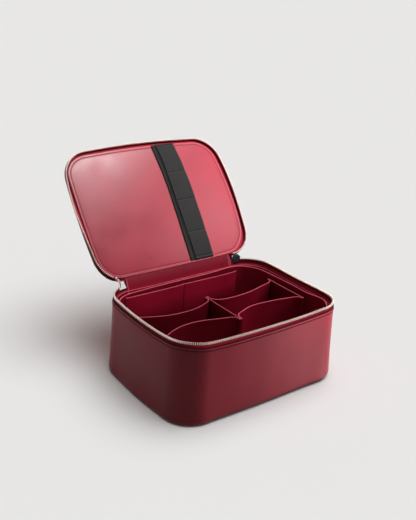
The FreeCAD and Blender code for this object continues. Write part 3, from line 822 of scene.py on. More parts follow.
def tooth(acc, p, t, b, c, scale=(1, 1, 1), m=0):
    """One metal tooth clamped on the tape edge: p foot, t along, b across, c up."""
    rows = []
    for h, ra, rb in TOOTH:
        ring = []
        for k in range(10):
            an = 2 * pi * (k + 0.5) / 10
            ca, sa = cos(an), sin(an)
            ca = math.copysign(abs(ca) ** 0.6, ca)
            sa = math.copysign(abs(sa) ** 0.6, sa)
            ring.append(p + t * (ra * ca * scale[0]) + b * (rb * sa * scale[1]) + c * (h * scale[2]))
        rows.append(ring)
    acc.grid(np.array(rows), False, True, m=m, cap=True)


PITCH = 2.4
COUNT = int((S_ZIP1 - S_ZIP0 - 5.0) / PITCH)
EZ = np.array([0, 0, 1.0])


def seat(s, z0, up, warp):
    """Foot of a tooth and its axes, on the warped tape."""
    (x, y), (nx, ny) = at(s)
    q = []
    for z in (z0, z0 + 2.5 * up):
        o, zz = warp(np.array([s]), np.array([1.8]), np.array([z]))
        q.append(np.array([x - o[0] * nx, y - o[0] * ny, zz[0]]))
    c = q[1] - q[0]
    c /= np.linalg.norm(c)
    t = np.array([ny, -nx, 0.0])
    b = np.cross(c, t)
    return q[0], t, b / np.linalg.norm(b), c


for nm, z0, up, body, rep, fn, shift, warp in (("tub_teeth", 99.2, 1, "tub", ("tub_zip_teeth",), None, 0.0, tub_zip),
                                               ("lid_teeth", 107.2, -1, "lid", ("lid_zip_teeth",), opened, 0.5, lid_zip)):
    a = Acc()
    for k in range(COUNT):
        tooth(a, *seat(S_ZIP0 + 1.4 + (k + shift) * PITCH, z0, up, warp))
    a.build(nm, [M_METAL], body, rep, fn)
for nm, z0, up, body, rep, fn, warp in (("tub_stop", 98.9, 1, "tub", ("tub_zip_stop",), None, tub_zip),
                                        ("lid_stop", 107.5, -1, "lid", ("lid_zip_stop",), opened, lid_zip)):
    a = Acc()
    tooth(a, *seat(S_ZIP1 - 1.7, z0, up, warp), (2.1, 1.15, 1.17))
    a.build(nm, [M_METAL], body, rep, fn)

# ------------------------------------------------------------------ hinge
# lining side: rises from behind the wall lining and leans back to the lid
LEAN = math.radians(21.9)
UPY, UPZ = sin(LEAN), cos(LEAN)


def across(pts, x0, x1, thick, name, mats, body, rep, m=0, swell=0.0, n=60, nx=90, seed=1.0,
           grow=None, painted_sheen=None):
    """A strip of leather that runs along x, with folded round ends."""
    half, centre = (x1 - x0) / 2, (x0 + x1) / 2
    p, u = smooth_path(pts, n)
    tg = tangents(p)
    nr = np.stack([tg[:, 1], -tg[:, 0]], 1)      # to the inside of the case
    ends = [(-1.0, 0.0), (-0.9998, 0.45), (-0.9975, 0.8), (-0.992, 1.0), (-0.985, 1.12), (-0.97, 1.05)]
    inner = list(np.linspace(-0.94, 0.94, nx))
    xw = ends + [(q, 1.0) for q in inner] + [(-q, w) for q, w in ends[::-1]]
    xs = np.array([q for q, w in xw]) * half
    th = np.array([w for q, w in xw]) * thick / 2
    front = np.zeros((len(xs), len(p), 3))
    back = np.zeros_like(front)
    rel = u / u[-1]
    for i, x in enumerate(xs):
        s = swell * np.sin(pi * rel) * (1 + 0.35 * math.sin(x / 19.0 + seed) + 0.2 * math.sin(x / 7.3 + 2 * seed)) * \
            min(1.0, (half - abs(x)) / 6.0 + 0.15)
        for g, sg in ((front, 1.0), (back, -1.0)):
            g[i, :, 0] = x + centre
            if grow is not None:
                g[i, :, 0] += grow(p[:, 1]) * np.clip((x / half - 0.85) / 0.15, 0, 1)
            g[i, :, 1] = p[:, 0] + nr[:, 0] * (sg * th[i] + s)
            g[i, :, 2] = p[:, 1] + nr[:, 1] * (sg * th[i] + s)
    v = np.concatenate([front, back[:, ::-1]], axis=1)
    a = Acc()
    w = None if painted_sheen is None else np.concatenate([painted_sheen(p[:, 1]), painted_sheen(p[::-1, 1])])[None, :] * np.ones((len(xs), 1))
    a.grid(v, False, True, xs - xs[0], np.concatenate([u, u[-1] + 1 + u, [2 * u[-1] + 2]]), m=m, cap=True, w=w)
    return a.build(name, mats, body, rep)


STRIP = [(83.05, 80.0), (83.05, 86.0), (83.15, 89.0), (83.7, 91.3), (84.85, 94.0), (86.15, 97.0), (87.45, 100.0), (88.75, 103.0),
         (89.9, 105.6), (90.4, 106.7)]
# the lining is painted paler towards its top: painted sheen, as the top catches more light
hl = across(STRIP, -84.0, 76.8, 0.9, "hinge_lining", [M_HINGE], None, ("hinge_strip_lining",), swell=0.3,
            painted_sheen=lambda z: 0.75 * np.clip((z - 97.0) / 9.0, 0, 1))
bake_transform(hl)
# narrow pale strips down the hinge's ends: painted highlight on the folds
for nm, x0, x1 in (("hinge_end_fold", 73.9, 74.7), ("hinge_end_edge_highlight", 76.1, 77.0), ("hinge_start_fold", -84.2, -83.3)):
    he = across(STRIP, x0, x1, 1.35, nm, [M_EDGE_HIGHLIGHT], None, (), swell=0.3, nx=6)
    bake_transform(he)
OUT = [(86.15, 90.0), (86.3, 94.0), (87.0, 96.6), (88.7, 98.0), (90.5, 99.5), (92.0, 101.2), (93.2, 103.2), (95.2, 104.2)]
ho = across(OUT, -85.4, 82.4, 1.0, "hinge_leather", [M_OUT], None, ("hinge_strip_leather",), swell=-0.15, seed=4.0,
            grow=lambda z: 2.4 * np.clip((z - 98.4) / 1.0, 0, 1))
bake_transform(ho)

# ------------------------------------------------------------------ the lid
hinge_w = np.clip((82.6 - np.abs(P_ALL[:, 0])) / 3.0, 0, 1) * (P_ALL[:, 1] > 80)
edge_z = 109.6 + 3.0 * hinge_w ** 2 * (3 - 2 * hinge_w)


def dome(z):
    h = np.clip(z - 110.2, 0, 7.0)
    return 7.0 - np.sqrt(np.maximum(49.0 - h * h, 0))


cols_o, cols_z, wr = [], [], []


LID_SHIFT = lid_in(S_ALL) - 2.0 * bump_at(S_ALL, CORNER_MID[3] + 4.0, 19.0) + 1.6 * bump_at(S_ALL, S_LEFT, 58.0)


def col(o, z, w=0.0):
    o = np.broadcast_to(o, (N,)) + LID_SHIFT * np.clip((117.5 - np.broadcast_to(z, (N,))) / 6.0, 0, 1)
    cols_o.append(o.astype(float))
    cols_z.append(np.broadcast_to(z, (N,)).astype(float))
    wr.append(w)


e0 = dome(edge_z)
col(8.6, 115.72)
col(6.3, 115.5)
col(6.2, 113.6)
col(5.8, np.maximum(112.4, edge_z + 0.5))
col(2.5, np.maximum(112.2, edge_z + 0.9))
col(e0 + 1.45, edge_z + 1.5)
col(e0 + 1.40, edge_z + 0.5)
col(e0 + 1.10, edge_z + 0.10)
col(e0 + 0.72, edge_z, 0.5)
col(e0 + 0.34, edge_z + 0.10, 0.5)
col(e0 + 0.08, edge_z + 0.45, 0.3)
z0 = edge_z + 1.0
for k in range(0, 13):
    f = k / 12.0
    z = z0 + (117.2 - z0) * sin(f * pi / 2)
    z = np.minimum(z, 117.2)
    col(dome(z), z, 0.12 * math.exp(-((f - 0.5) / 0.25) ** 2))
for o, dzc in ((9, 0.05), (12, 0.14), (17, 0.28), (24, 0.45), (32, 0.6)):
    col(o, 117.2 + dzc)
v = ringed(np.stack(cols_o, 1), np.stack(cols_z, 1))
last = v[:, -1:].copy()
out_cols = []
for t, dzc in ((0.86, 0.68), (0.7, 0.76), (0.5, 0.82), (0.3, 0.86), (0.1, 0.88)):
    q = last * np.array([t, t, 1.0])
    q[..., 2] = 117.2 + dzc
    out_cols.append(q)
v0 = v[:, :1].copy()
in_cols = [v0 * np.array([t, t, 1.0]) for t in (0.1, 0.4, 0.75)]
v = np.concatenate(in_cols + [v] + out_cols, axis=1)
wv = np.concatenate([[0] * len(in_cols), wr, [0] * len(out_cols)])
a = Acc()
a.grid(v, True, False, U_ALL, None, fan_first=True, fan_last=True, w=np.broadcast_to(wv, (N, len(wv))))
a.build("lid_skin", [M_OUT], "lid", ("lid_outer_leather",), opened)

# lining panel over its padding, with a sewn border
def panel_edge(ss):
    """Distance of the panel's edge from the outline."""
    ss = np.asarray(ss, float)
    back = np.exp(-(np.abs((ss + TOTAL / 2) % TOTAL - TOTAL / 2) / 100.0) ** 4)
    return 5.5 + 1.5 * bump_at(ss, S_LEFT + 8.0, 48.0) - 1.2 * bump_at(ss, S_RIGHT, 70.0) - 2.6 * back \
        - 1.6 * bump_at(ss, CORNER_MID[2] + 16.0, 24.0) + 3.0 * bump_at(ss, CORNER_MID[0] + 6.0, 26.0) \
        - 1.8 * bump_at(ss, CORNER_MID[3] + 6.0, 20.0)


p0 = panel_edge(S_ALL)
a = Acc()
f0 = np.minimum(2.6 + lid_in(S_ALL), p0 - 1.6)
sunk = 1.5 * bump_at(S_ALL, S_LEFT, 62.0)
fo = np.stack([f0 - 0.25, f0, np.maximum(p0 - 1.2, f0 + 0.2), p0 + 0.2, p0 + 0.6, p0 + 0.75, p0 + 1.4, p0 + 0.8, p0 - 1.0, f0], 1)
fz = np.array([110.4, 110.0, 109.62, 109.60, 109.58, 109.5, 110.0, 110.5, 110.6, 111.0])
fz = np.broadcast_to(fz, fo.shape) + (edge_z - 109.6)[:, None] * np.array([0.5, 0.4, 0, 0, 0, 0, 0, 0, 0.3, 0.5])
fz = fz + sunk[:, None] * np.array([0.7, 0.9, 1, 1, 0.8, 0, 0.6, 1, 1, 0.8])
a.grid(ringed(fo, fz), True, True, U_ALL, None)
a.build("lid_facing", [M_FACE], "lid", (), opened)

# padding behind the panel
a = Acc()
po = np.stack([p0 + q for q in (2.2, 1.5, 1.25, 1.2, 1.4, 2.2)], 1)
a.grid(ringed(po, np.array([109.62, 109.8, 110.6, 112.4, 113.3, 113.55])), True, False, U_ALL, None, fan_first=True, fan_last=True)
foam = a.build("lid_foam", [M_FOAM], "lid", ("lid_padding",), opened)


def panel_z(x, y):
    """Height of the panel's face above its edge line, drawn shut (it faces down)."""
    d = np.minimum(np.minimum(118 - np.abs(x), y + 86.0), 84.0 - y)
    t = np.clip(d / 42.0, 0, 1)
    return 108.38 - 0.55 * (t * (2 - t))


cols = []
for o, z in ((0.9, 109.55), (0.1, 109.5), (0.0, 109.1), (0.12, 108.72), (0.45, 108.48), (0.95, 108.40), (1.8, 108.38), (2.7, 108.40),
             (3.2, 108.50), (3.5, 108.56), (3.8, 108.50), (4.4, 108.38), (6.0, 108.34)):
    cols.append(ringed((p0 + o)[:, None], np.full((N, 1), z)))
for o in (9.0, 13.0, 18.0, 24.0, 30.0):
    q = ringed((p0 * (1 - o / 40) + 5.5 * o / 40 + o)[:, None], np.full((N, 1), 108.3))
    cols.append(q)
lastp = cols[-1]
for t in (0.88, 0.74, 0.58, 0.42, 0.26, 0.1):
    cols.append(lastp * np.array([t, t, 1.0]))
for q in cols[13:]:
    q[..., 2] = np.minimum(108.34, panel_z(q[..., 0], q[..., 1]))
inn = cols[0]
v = np.concatenate([inn * np.array([0.3, 0.3, 1]), inn * np.array([0.8, 0.8, 1])] + cols, axis=1)
k = v.shape[1]
mat = [0] * (k - 1)
# the rolled edge columns take the paler rolled-edge colour: painted highlight
for j in (3, 4, 5, 6):
    mat[j] = 1
a = Acc()
a.grid(v, True, False, U_ALL, None, m=mat, fan_first=True, fan_last=True)
panel = a.build("lid_panel", [M_LID, M_ROLL_HIGHLIGHT], "lid", ("lid_lining_panel",), opened)
a = Acc()
tl = TOTAL - 2 * pi * 9.5
nst = round(tl / 3.0)
for k in range(nst):
    s = TOTAL * k / nst
    (x, y), (nx, ny) = at(s)
    o = panel_edge(np.array([s]))[0] + 3.5
    q = (x - o * nx, y - o * ny)
    if 15.5 < q[0] < 56.5:
        continue
    stitch(a, (q[0], q[1], 108.50), (ny, -nx, 0), (0, 0, -1), 2.2, 0.33, -0.02)
a.build("lid_panel_stitches", [M_THREAD], "lid", (), opened)

# webbing band with diagonal ribs, and the elastic sewn on it in loops
BY0, BY1 = -84.6, 84.4


def band_surface(x, y):
    z = np.minimum(108.38, panel_z(x, y))
    return z + np.clip(y - 82.2, 0, 9) ** 2 * 0.45 + np.clip(-83.2 - y, 0, 9) ** 2 * 0.6


def band(name, xa, xb, thick, lift, ys, nxs, ripple, mats, rep):
    rows = []
    for y in ys:
        x0, x1 = xa(y), xb(y)
        us = np.concatenate([[0.0, 0.004, 0.02], np.linspace(0.05, 0.95, nxs), [0.98, 0.996, 1.0]])
        x = x0 + (x1 - x0) * us
        rim = np.minimum(1.0, np.minimum(us, 1 - us) / 0.02) ** 0.5
        zs = band_surface(x, np.full_like(x, y))
        topz = zs - lift - thick * rim - ripple(x, y) * rim
        botz = zs - lift + 0.05
        rows.append(np.concatenate([np.stack([x, np.full_like(x, y), topz], 1),
                                    np.stack([x, np.full_like(x, y), botz], 1)[::-1]]))
    v = np.array(rows)
    a = Acc()
    a.grid(v, False, True, np.asarray(ys) - ys[0], None, cap=True)
    return a.build(name, mats, "lid", rep, opened)


def ribs(x, y):
    return 0.42 * np.sin(2 * pi * (y - 0.75 * x) / 3.5) * (x < 27.5)


ROWS = (-84.6, -70.0, -54.8, -37.7, -20.7, -3.7, 13.4, 30.4, 47.5, 64.5, 73.0, 84.4)


def band_left(y):
    return 17.3 + np.interp(y, ROWS, (0.2, 1.0, 2.1, 3.0, 3.2, 2.6, 2.0, 1.5, 0.4, -0.2, -0.5, -0.7))


def band_right(y):
    return 54.7 + np.interp(y, ROWS, (-2.2, -0.8, 0.8, 1.6, 1.9, 1.9, 0.9, 0.3, -0.5, -1.2, -1.9, -2.2))


webbing = band("band_base", band_left, lambda y: band_right(y) - 0.5, 0.75, 0.0, np.arange(BY0, BY1 + 0.2, 0.45), 60, ribs,
               [M_RIB], ("band_backing",))
SEAM_Y = (-81.6, -41.5, -0.8, 45.0, 79.6)


def loops(x, y):
    q = np.array(SEAM_Y)
    d = np.abs(y - q)
    g = np.exp(-(d.min() / 0.9) ** 2)
    i = int(np.clip(np.searchsorted(q, y) - 1, 0, len(q) - 2))
    t = np.clip((y - q[i]) / (q[i + 1] - q[i]), 0, 1)
    full = 0.55 * (np.sin(pi * t) ** 0.7 if q[0] < y < q[-1] else 0.0)
    return full * (0.85 + 0.15 * np.sin(x / 6.0)) - 0.55 * g


def elastic_left(y):
    return 26.9 - 3.2 * (y + 84) / 167.0 + np.interp(y, (-84.6, -70.0, -54.8, -40.0, 90.0), (-3.2, -1.5, -0.4, 0.0, 0.0))


loop_band = band("elastic", elastic_left, band_right, 1.0, 0.8,
                 np.unique(np.concatenate([np.arange(BY0 + 0.3, BY1 - 0.2, 1.2)] + [np.arange(q - 2, q + 2.1, 0.35) for q in SEAM_Y])),
                 24, loops, [M_ELA], ("band_elastic",))
# painted shade: a dark strip laid along the channel beside the elastic; and a thin dark strip along the webbing's left
# edge
band("band_channel", lambda y: elastic_left(y) - 1.9, lambda y: elastic_left(y) + 0.3, 0.2, 0.9, np.arange(BY0 + 0.4, BY1 - 0.3, 1.2), 4,
     lambda x, y: 0.0 * x, [M_GAP], ())
band("band_edge", lambda y: band_left(y) - 0.15, lambda y: band_left(y) + 1.0, 0.2, 0.9, np.arange(BY0 + 0.4, BY1 - 0.3, 1.2), 4,
     lambda x, y: 0.0 * x, [M_GAP], ())
a = Acc()
for y in SEAM_Y:
    for x in np.arange(elastic_left(y) + 1.4, band_right(y) - 0.7, 2.4):
        z = float(band_surface(np.array([x]), np.array([y]))[0]) - 0.8 - 0.45
        stitch(a, (x, y, z), (1, 0, 0), (0, 0, -1), 1.9, 0.2, -0.05)
for y in np.arange(-82.0, 82.0, 2.9):
    x = float(band_left(y)) + 2.0
    z = float(band_surface(np.array([x]), np.array([y]))[0]) - 0.78
    stitch(a, (x, y, z), (0, 1, 0), (0, 0, -1), 2.1, 0.2, 0.0)
sewing = a.build("band_stitches", [M_THREAD_K], "lid", (), opened)

# tail of the zip: the two rows come together past the left end of the hinge
(x, y), (nx, ny) = at(S_ZIP1 - 1.0)
pa = seat(S_ZIP1 - 1.0, 100.3, 1, tub_zip)[0]
pb = opened(seat(S_ZIP1 - 1.0, 106.2, -1, lid_zip)[0])
(xe, ye), (nxe, nye) = at(S_ZIP1 + 0.8)
pm0 = seat(S_ZIP1 + 0.8, 101.4, 1, tub_zip)[0]
pm1 = opened(seat(S_ZIP1 + 0.8, 105.4, -1, lid_zip)[0])
path, u = smooth_path([pa, pm0, (pm0 + pm1) / 2 + np.array([1.2, 0.6, 0.0]), pm1, pb], 40)
tg = tangents(path)
side = np.array([nxe, nye, 0.0])
rows = []
for p, t in zip(path, tg):
    b = np.cross(t, side)
    b /= np.linalg.norm(b)
    c = np.cross(b, t)
    rows.append([p + b * (1.5 * cos(q)) + c * (0.35 * sin(q)) for q in np.arange(12) * pi / 6])
a = Acc()
a.grid(np.array(rows), False, True, u, None, m=0, cap=True)
for q in np.arange(1.6, u[-1] - 1.2, 2.3):
    i = int(np.argmin(np.abs(u - q)))
    b = np.cross(tg[i], side)
    b /= np.linalg.norm(b)
    tooth(a, path[i] - side * 1.1 + b * 0.9, tg[i], b, side, (0.9, 0.9, 0.75), m=1)
tail = a.build("zip_tail", [M_TAPE, M_METAL], None)
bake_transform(tail)

# ------------------------------------------------------------------ slider and pull
MID = math.radians(9.6)


def on_corner(q):
    """(along, outward depth, height) bent round the back right corner."""
    q = np.asarray(q, float)
    th = MID + q[..., 0] / 35.2
    r = 37.0 - q[..., 1]
    return np.stack([BC[0] + r * np.sin(th), BC[1] + r * np.cos(th), q[..., 2]], -1)


def on_face(q):
    """(across, outward, height) on the slider's outer face."""
    q = np.asarray(q, float)
    x = q[..., 0] * cos(MID) + q[..., 1] * sin(MID)
    y = -q[..., 0] * sin(MID) + q[..., 1] * cos(MID)
    return np.stack([x + BC[0] + 37.4 * sin(MID), y + BC[1] + 37.4 * cos(MID), q[..., 2]], -1)


def rpoly(pts, r, seg=6):
    """Polygon with round corners."""
    out = []
    k = len(pts)
    for i in range(k):
        p0, p1, p2 = (np.array(pts[(i + d) % k], float) for d in (-1, 0, 1))
        d0, d1 = (p0 - p1), (p2 - p1)
        l0, l1 = np.linalg.norm(d0), np.linalg.norm(d1)
        rr = r[i] if hasattr(r, "__len__") else r
        rr = min(rr, 0.49 * l0, 0.49 * l1)
        a0, a1 = p1 + d0 / l0 * rr, p1 + d1 / l1 * rr
        for t in np.linspace(0, 1, seg):
            out.append((1 - t) ** 2 * a0 + 2 * t * (1 - t) * p1 + t * t * a1)
    return np.array(out)


def plate(acc, outline, y0, y1, rnd, mapf, m=0, dome0=0.0, dome1=0.0):
    """Flat piece with a rounded rim; y0 and y1 are its two faces."""
    c = outline.mean(0)
    t = np.roll(outline, -1, 0) - np.roll(outline, 1, 0)
    t /= np.maximum(np.linalg.norm(t, axis=1), 1e-9)[:, None]
    nr = np.stack([t[:, 1], -t[:, 0]], 1)
    if ((outline - c) * nr).sum() < 0:
        nr = -nr
    sgn = 1 if y1 > y0 else -1
    cols = []

    def ring(inset, y, shrink=1.0):
        q = (outline - nr * inset - c) * shrink + c
        cols.append(np.stack([q[:, 0], np.full(len(q), y), q[:, 1]], 1))
    for sh in (0.12, 0.45, 0.75):
        ring(rnd, y0 - sgn * dome0 * (1 - sh * sh), sh)
    ring(rnd, y0)
    for an in (30, 60, 90):
        q = math.radians(an)
        ring(rnd * (1 - sin(q)), y0 + sgn * rnd * (1 - cos(q)))
    for an in (90, 60, 30):
        q = math.radians(an)
        ring(rnd * (1 - sin(q)), y1 - sgn * rnd * (1 - cos(q)))
    ring(rnd, y1)
    for sh in (0.75, 0.45, 0.12):
        ring(rnd, y1 + sgn * dome1 * (1 - sh * sh), sh)
    v = mapf(np.stack(cols, 1))
    acc.grid(v, True, False, None, None, m=m, fan_first=True, fan_last=True)


def tube(acc, path, r, n=10, closed=False, m=0, flat=(1, 1), up=(0, 0, 1)):
    p = np.asarray(path, float)
    if closed:
        t = np.roll(p, -1, 0) - np.roll(p, 1, 0)
    else:
        t = np.gradient(p, axis=0)
    t /= np.linalg.norm(t, axis=1)[:, None]
    rows = []
    upv = np.asarray(up, float)
    for q, d in zip(p, t):
        b = np.cross(d, upv)
        if np.linalg.norm(b) < 1e-4:
            b = np.cross(d, np.array([0.3, 1, 0.2]))
        b /= np.linalg.norm(b)
        c = np.cross(b, d)
        rows.append([q + r * (flat[0] * cos(a_) * b + flat[1] * sin(a_) * c) for a_ in np.arange(n) * 2 * pi / n])
    acc.grid(np.array(rows), closed, True, None, None, m=m, cap=not closed)


a = Acc()
shield = rpoly([(-5.4, 97.3), (-3.6, 96.6), (3.6, 96.6), (5.4, 97.3), (5.3, 101.8), (3.0, 105.4), (-3.6, 105.4), (-5.6, 101.8)],
               2.0, 6)
plate(a, shield, 0.46, -0.42, 0.34, on_corner, dome1=0.12)
inside = rpoly([(-11.0, 102.2), (-8.6, 107.4), (-0.6, 108.0), (2.7, 103.4), (1.9, 97.0), (-7.0, 96.4)], 1.5, 6)
plate(a, inside, 3.12, 4.25, 0.4, on_corner, dome1=0.35)
bridge = rpoly([(-3.4, -0.35), (3.4, -0.35), (4.6, 0.6), (4.6, 3.0), (3.4, 4.0), (-3.4, 4.0), (-4.6, 3.0), (-4.6, 0.6)], 0.9, 5)
plate(a, bridge, 102.75, 103.72, 0.4, lambda q: on_corner(q[..., [0, 2, 1]]), dome1=0.1)
rows = []
for q in np.arange(32) * 2 * pi / 32:
    d = np.array([0.0, cos(q), sin(q)])
    cpt = np.array([0.0, 1.75, 98.6]) + d * 1.37
    rows.append([cpt + np.array([1.45 * math.copysign(abs(cos(w)) ** 0.4, cos(w)), 0, 0])
                 + d * (0.36 * math.copysign(abs(sin(w)) ** 0.7, sin(w))) for w in np.arange(14) * 2 * pi / 14])
a.grid(on_face(np.array(rows)), True, True)
foot = rpoly([(-1.4, 97.3), (1.4, 97.3), (1.4, 99.9), (-1.4, 99.9)], 0.5, 4)
plate(a, foot, -0.3, 0.35, 0.2, on_face)
a.build("slider_body", [M_DARK], "slider", ("zip_slider",))

a = Acc()
loop = rpoly([(-3.4, 98.6), (3.4, 98.6), (3.4, 90.0), (-3.4, 90.0)], 1.5, 7)
tube(a, on_face(np.stack([loop[:, 0], np.full(len(loop), 1.75), loop[:, 1]], 1)), 0.88, 14, closed=True,
     up=(sin(MID), cos(MID), 0))
a.build("pull_link", [M_DARK], "pull", ("zip_pull_link",))

a = Acc()
shape = rpoly([(-2.25, 89.0), (2.25, 89.0), (2.35, 87.2), (4.55, 86.0), (4.6, 72.0), (4.55, 58.6), (2.6, 56.1), (-2.6, 56.1),
               (-4.55, 58.6), (-4.6, 72.0), (-4.55, 86.0), (-2.35, 87.2)],
              [0.3, 0.3, 1.2, 1.6, 3, 1.6, 1.6, 1.6, 1.6, 3, 1.6, 1.2], 6)
plate(a, shape, 1.68, 0.28, 0.32, on_face, m=0, dome1=0.10)
plate(a, shape, 1.82, 3.22, 0.32, on_face, m=0, dome1=0.10)
core = (shape - shape.mean(0)) * 0.965 + shape.mean(0)
plate(a, core, 1.45, 2.05, 0.1, on_face, m=1)
rows = []
for w in np.linspace(-2.25, 2.25, 9):
    ring = []
    for q in np.linspace(-0.12 * pi, 1.12 * pi, 18):
        ring.append((w, 1.75 + 1.46 * cos(q), 90.0 + 1.46 * sin(q) * 0.93))
    for q in np.linspace(1.12 * pi, -0.12 * pi, 18):
        ring.append((w, 1.75 + 0.97 * cos(q), 90.0 + 0.97 * sin(q)))
    rows.append(ring)
a.grid(on_face(np.array(rows)), False, True, cap=True)
c0 = shape.mean(0)
ln = np.append(0, np.cumsum(np.linalg.norm(np.diff(np.vstack([shape, shape[:1]]), axis=0), axis=1)))
closed = np.vstack([shape, shape[:1]])
for s in np.arange(0.5, ln[-1], 2.3):
    q = np.array([np.interp(s, ln, closed[:, 0]), np.interp(s, ln, closed[:, 1])])
    q2 = np.array([np.interp((s + 0.4) % ln[-1], ln, closed[:, 0]), np.interp((s + 0.4) % ln[-1], ln, closed[:, 1])])
    t2 = (q2 - q) / max(np.linalg.norm(q2 - q), 1e-6)
    nrm = np.array([t2[1], -t2[0]])
    if nrm @ (q - c0) > 0:
        nrm = -nrm
    q = q + nrm * 1.15
    if q[1] > 86.2:
        continue
    for yface, sg in ((0.24, -1), (3.26, 1)):
        p3 = on_face(np.array([q[0], yface, q[1]]))
        tip = on_face(np.array([q[0] + t2[0], yface, q[1] + t2[1]])) - p3
        out = on_face(np.array([q[0], yface + sg, q[1]])) - p3
        stitch(a, p3, tip, out, 1.6, 0.17, -0.05, m=2)
a.build("pull_tab", [M_OUT, M_EDGE_HIGHLIGHT, M_THREAD], "pull", ("zip_pull_tab",))

# ------------------------------------------------------------------ floor, light, camera
floor_mat, nt, bsdf = nodes_of("studio_floor")
co = node(nt, "ShaderNodeTexCoord").outputs["Object"]
nz = tex(nt, "ShaderNodeTexNoise", co, Scale=3.0, Detail=3.0)
nt.links.new(mix_col(nt, nz.outputs["Fac"], (0.80, 0.80, 0.80), (0.805, 0.805, 0.805)), bsdf.inputs["Base Color"])
bsdf.inputs["Roughness"].default_value = 1.0
bsdf.inputs["Specular IOR Level"].default_value = 0.0
me = bpy.data.meshes.new("studio_floor")
# flat for ten metres round the case, then a very wide shallow bowl that hides the horizon
radii = [0.25, 0.5, 1.0, 2.0, 4.0, 7.0, 10.0] + [10.0 + 0.75 * k for k in range(1, 9)] + [20.0, 30.0, 50.0, 90.0, 150.0]
pts, faces, g = [(0.0, 0.0, -0.0004)], [], 96
for r in radii:
    z = 0.0 if r < 10 else 0.38 * (r - 10) ** 2 / 12 if r < 16 else 0.38 * (r - 13)
    pts += [(r * cos(2 * pi * k / g), r * sin(2 * pi * k / g), z - 0.0004) for k in range(g)]
for i in range(len(radii)):
    for k in range(g):
        a0, a1 = 1 + (i - 1) * g + k, 1 + (i - 1) * g + (k + 1) % g
        faces.append((0, 1 + k, 1 + (k + 1) % g) if i == 0 else (a0, a0 + g, a1 + g, a1))
me.from_pydata(pts, [], faces)
me.polygons.foreach_set("use_smooth", [True] * len(faces))
me.materials.append(floor_mat)
floor = bpy.data.objects.new("studio_floor", me)
bpy.context.scene.collection.objects.link(floor)
floor.visible_diffuse = False
floor.visible_shadow = False

world = bpy.data.worlds.new("studio")
bpy.context.scene.world = world
world.use_nodes = True
wt = world.node_tree
wt.nodes.clear()
wo = wt.nodes.new("ShaderNodeOutputWorld")
bg = wt.nodes.new("ShaderNodeBackground")
room = wt.nodes.new("ShaderNodeBackground")
room.inputs["Color"].default_value = (1.0, 0.80, 0.66, 1.0)
room.inputs["Strength"].default_value = 0.155
both = wt.nodes.new("ShaderNodeAddShader")
wt.links.new(bg.outputs[0], both.inputs[0])
wt.links.new(room.outputs[0], both.inputs[1])
wt.links.new(both.outputs[0], wo.inputs[0])
direction = wt.nodes.new("ShaderNodeTexCoord").outputs["Generated"]


def lobe(d, inner, outer, strength):
    d = Vector(d).normalized()
    q = wt.nodes.new("ShaderNodeVectorMath")
    q.operation = "DOT_PRODUCT"
    wt.links.new(direction, q.inputs[0])
    q.inputs[1].default_value = d
    return remap(wt, q.outputs["Value"], cos(math.radians(outer)), cos(math.radians(inner)), 0.0, strength, smooth=True)


total = lobe((0.23, -0.11, 1.0), 8, 37, 4.5)
for d, inner, outer, power in (((0.95, 0.10, -0.30), 8, 42, 1.2), ((0.0, 0.0, -1.0), 15, 60, 0.06)):
    total = math_node(wt, "ADD", total, lobe(d, inner, outer, power))
wt.links.new(total, bg.inputs["Strength"])
bg.inputs["Color"].default_value = (0.978, 1.005, 1.02, 1.0)

groups = {}
for nm in ("lid", "inside", "front", "left", "right", "wall", "tape"):
    groups[nm] = bpy.data.collections.new("lit_" + nm)
    bpy.context.scene.collection.children.link(groups[nm])


def softbox(name, where, aim, size, power, group, glossy=True, diffuse=True):
    la = bpy.data.lights.new(name, "AREA")
    la.shape = "RECTANGLE"
    la.size, la.size_y = size
    la.energy = power
    ob = bpy.data.objects.new(name, la)
    bpy.context.scene.collection.objects.link(ob)
    ob.location = where
    ob.rotation_euler = (Vector(aim) - Vector(where)).to_track_quat("-Z", "Y").to_euler()
    ob.visible_glossy = glossy
    ob.visible_diffuse = diffuse
    ob.visible_camera = False
    ob.light_linking.receiver_collection = group
    return ob


softbox("softbox_key", (0.38, -0.01, 0.52), (0.02, 0.13, 0.15), (0.24, 0.24), 10.5, groups["lid"], glossy=False)
softbox("softbox_over", (0.25, -0.75, 0.42), (0.02, 0.06, 0.07), (0.30, 0.30), 4.6, groups["inside"], glossy=False)
softbox("softbox_low", (-0.45, -0.35, 0.35), (0.08, 0.0, 0.07), (0.16, 0.16), 0.9, groups["inside"], glossy=False)
for nm, power in (("right", 5.6), ("wall", 3.8), ("left", 0.3)):
    softbox("softbox_" + nm + "_wall", (0.75, -0.35, 0.65), (0.03, 0.03, 0.06), (0.25, 0.25), power, groups[nm], glossy=False)
softbox("softbox_rim", (0.02, 0.0, 0.90), (0.02, 0.0, 0.0), (0.20, 0.20), 3.6, groups["wall"], glossy=False)
softbox("softbox_tape", (0.20, -0.50, 0.05), (0.02, -0.09, 0.10), (0.15, 0.15), 1.8, groups["tape"], glossy=False)
softbox("softbox_fill", (0.27, -0.23, 0.22), (0.03, -0.08, 0.05), (0.16, 0.16), 3.05, groups["front"], glossy=False)
for nm in ("lid", "front"):
    softbox("softbox_bounce_" + nm, (0.0, 0.62, 0.0), (0.0, 0.14, 0.12), (0.40, 0.30), 2.2, groups[nm], glossy=False)
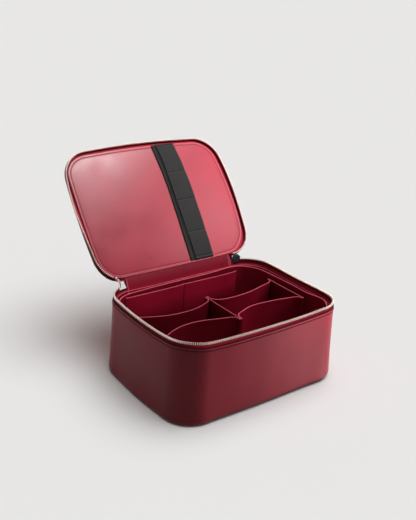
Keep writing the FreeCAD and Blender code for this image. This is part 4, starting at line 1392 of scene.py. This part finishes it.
softbox("softbox_edge", (0.50, -0.30, -0.16), (0.086, -0.09, 0.06), (0.22, 0.16), 1.15, groups["front"], diffuse=False)
softbox("softbox_left", (-0.20, 0.05, 0.25), (-0.13, 0.0, 0.08), (0.16, 0.16), 0.27, groups["front"], glossy=False)
softbox("softbox_top", (0.15, 0.0, 0.66), (0.15, 0.0, 0.0), (0.20, 0.12), 3.3, groups["lid"], diffuse=False)
softbox("softbox_side", (0.36, -0.12, 0.42), (0.09, 0.11, 0.13), (0.20, 0.20), 0.85, groups["lid"], diffuse=False)

cam_data = bpy.data.cameras.new("camera")
cam = bpy.data.objects.new("camera", cam_data)
bpy.context.scene.collection.objects.link(cam)
right = Vector((0.80904, -0.58548, 0.05162))
up = Vector((0.16296, 0.30783, 0.93738))
fwd = Vector((0.56471, 0.74997, -0.34446))
rot = Matrix((right, up, -fwd)).transposed()
cam.matrix_world = Matrix.Translation(Vector((-0.53746, -0.64655, 0.49011))) @ rot.to_4x4()
cam_data.sensor_width = 36.0
cam_data.lens = 765.855 / 520.0 * 36.0
cam_data.shift_x = (208.0 - 194.54) / 520.0
cam_data.shift_y = (230.634 - 260.0) / 520.0
cam_data.clip_start, cam_data.clip_end = 0.01, 200.0
bpy.context.scene.camera = cam
bpy.context.scene.view_settings.view_transform = "Standard"
bpy.context.scene.view_settings.look = "None"

OUTSIDE = ("tub_skin", "tub_edge_stitches", "tub_teeth", "tub_stop", "base_panel", "base_stitches")
ON_LID = ("lid_skin", "lid_facing", "lid_panel", "lid_panel_stitches", "lid_tape", "lid_teeth", "lid_stop", "band_base", "elastic",
          "band_stitches", "lid_foam", "band_channel", "band_edge")
for o in list(bpy.context.scene.collection.objects):
    if o.type == "MESH" and o is not floor:
        kind = "lid" if o.name in ON_LID else "front" if o.name in OUTSIDE else "inside"
        if o.name.startswith("divider_") or o.name.startswith("cross_strip_"):
            kind = "right" if "right" in o.name else "left"
        kind = {"tub_tape": "tape", "organiser": "wall", "floor_lining": "wall"}.get(o.name, kind)
        groups[kind].objects.link(o)

bpy.context.view_layer.update()
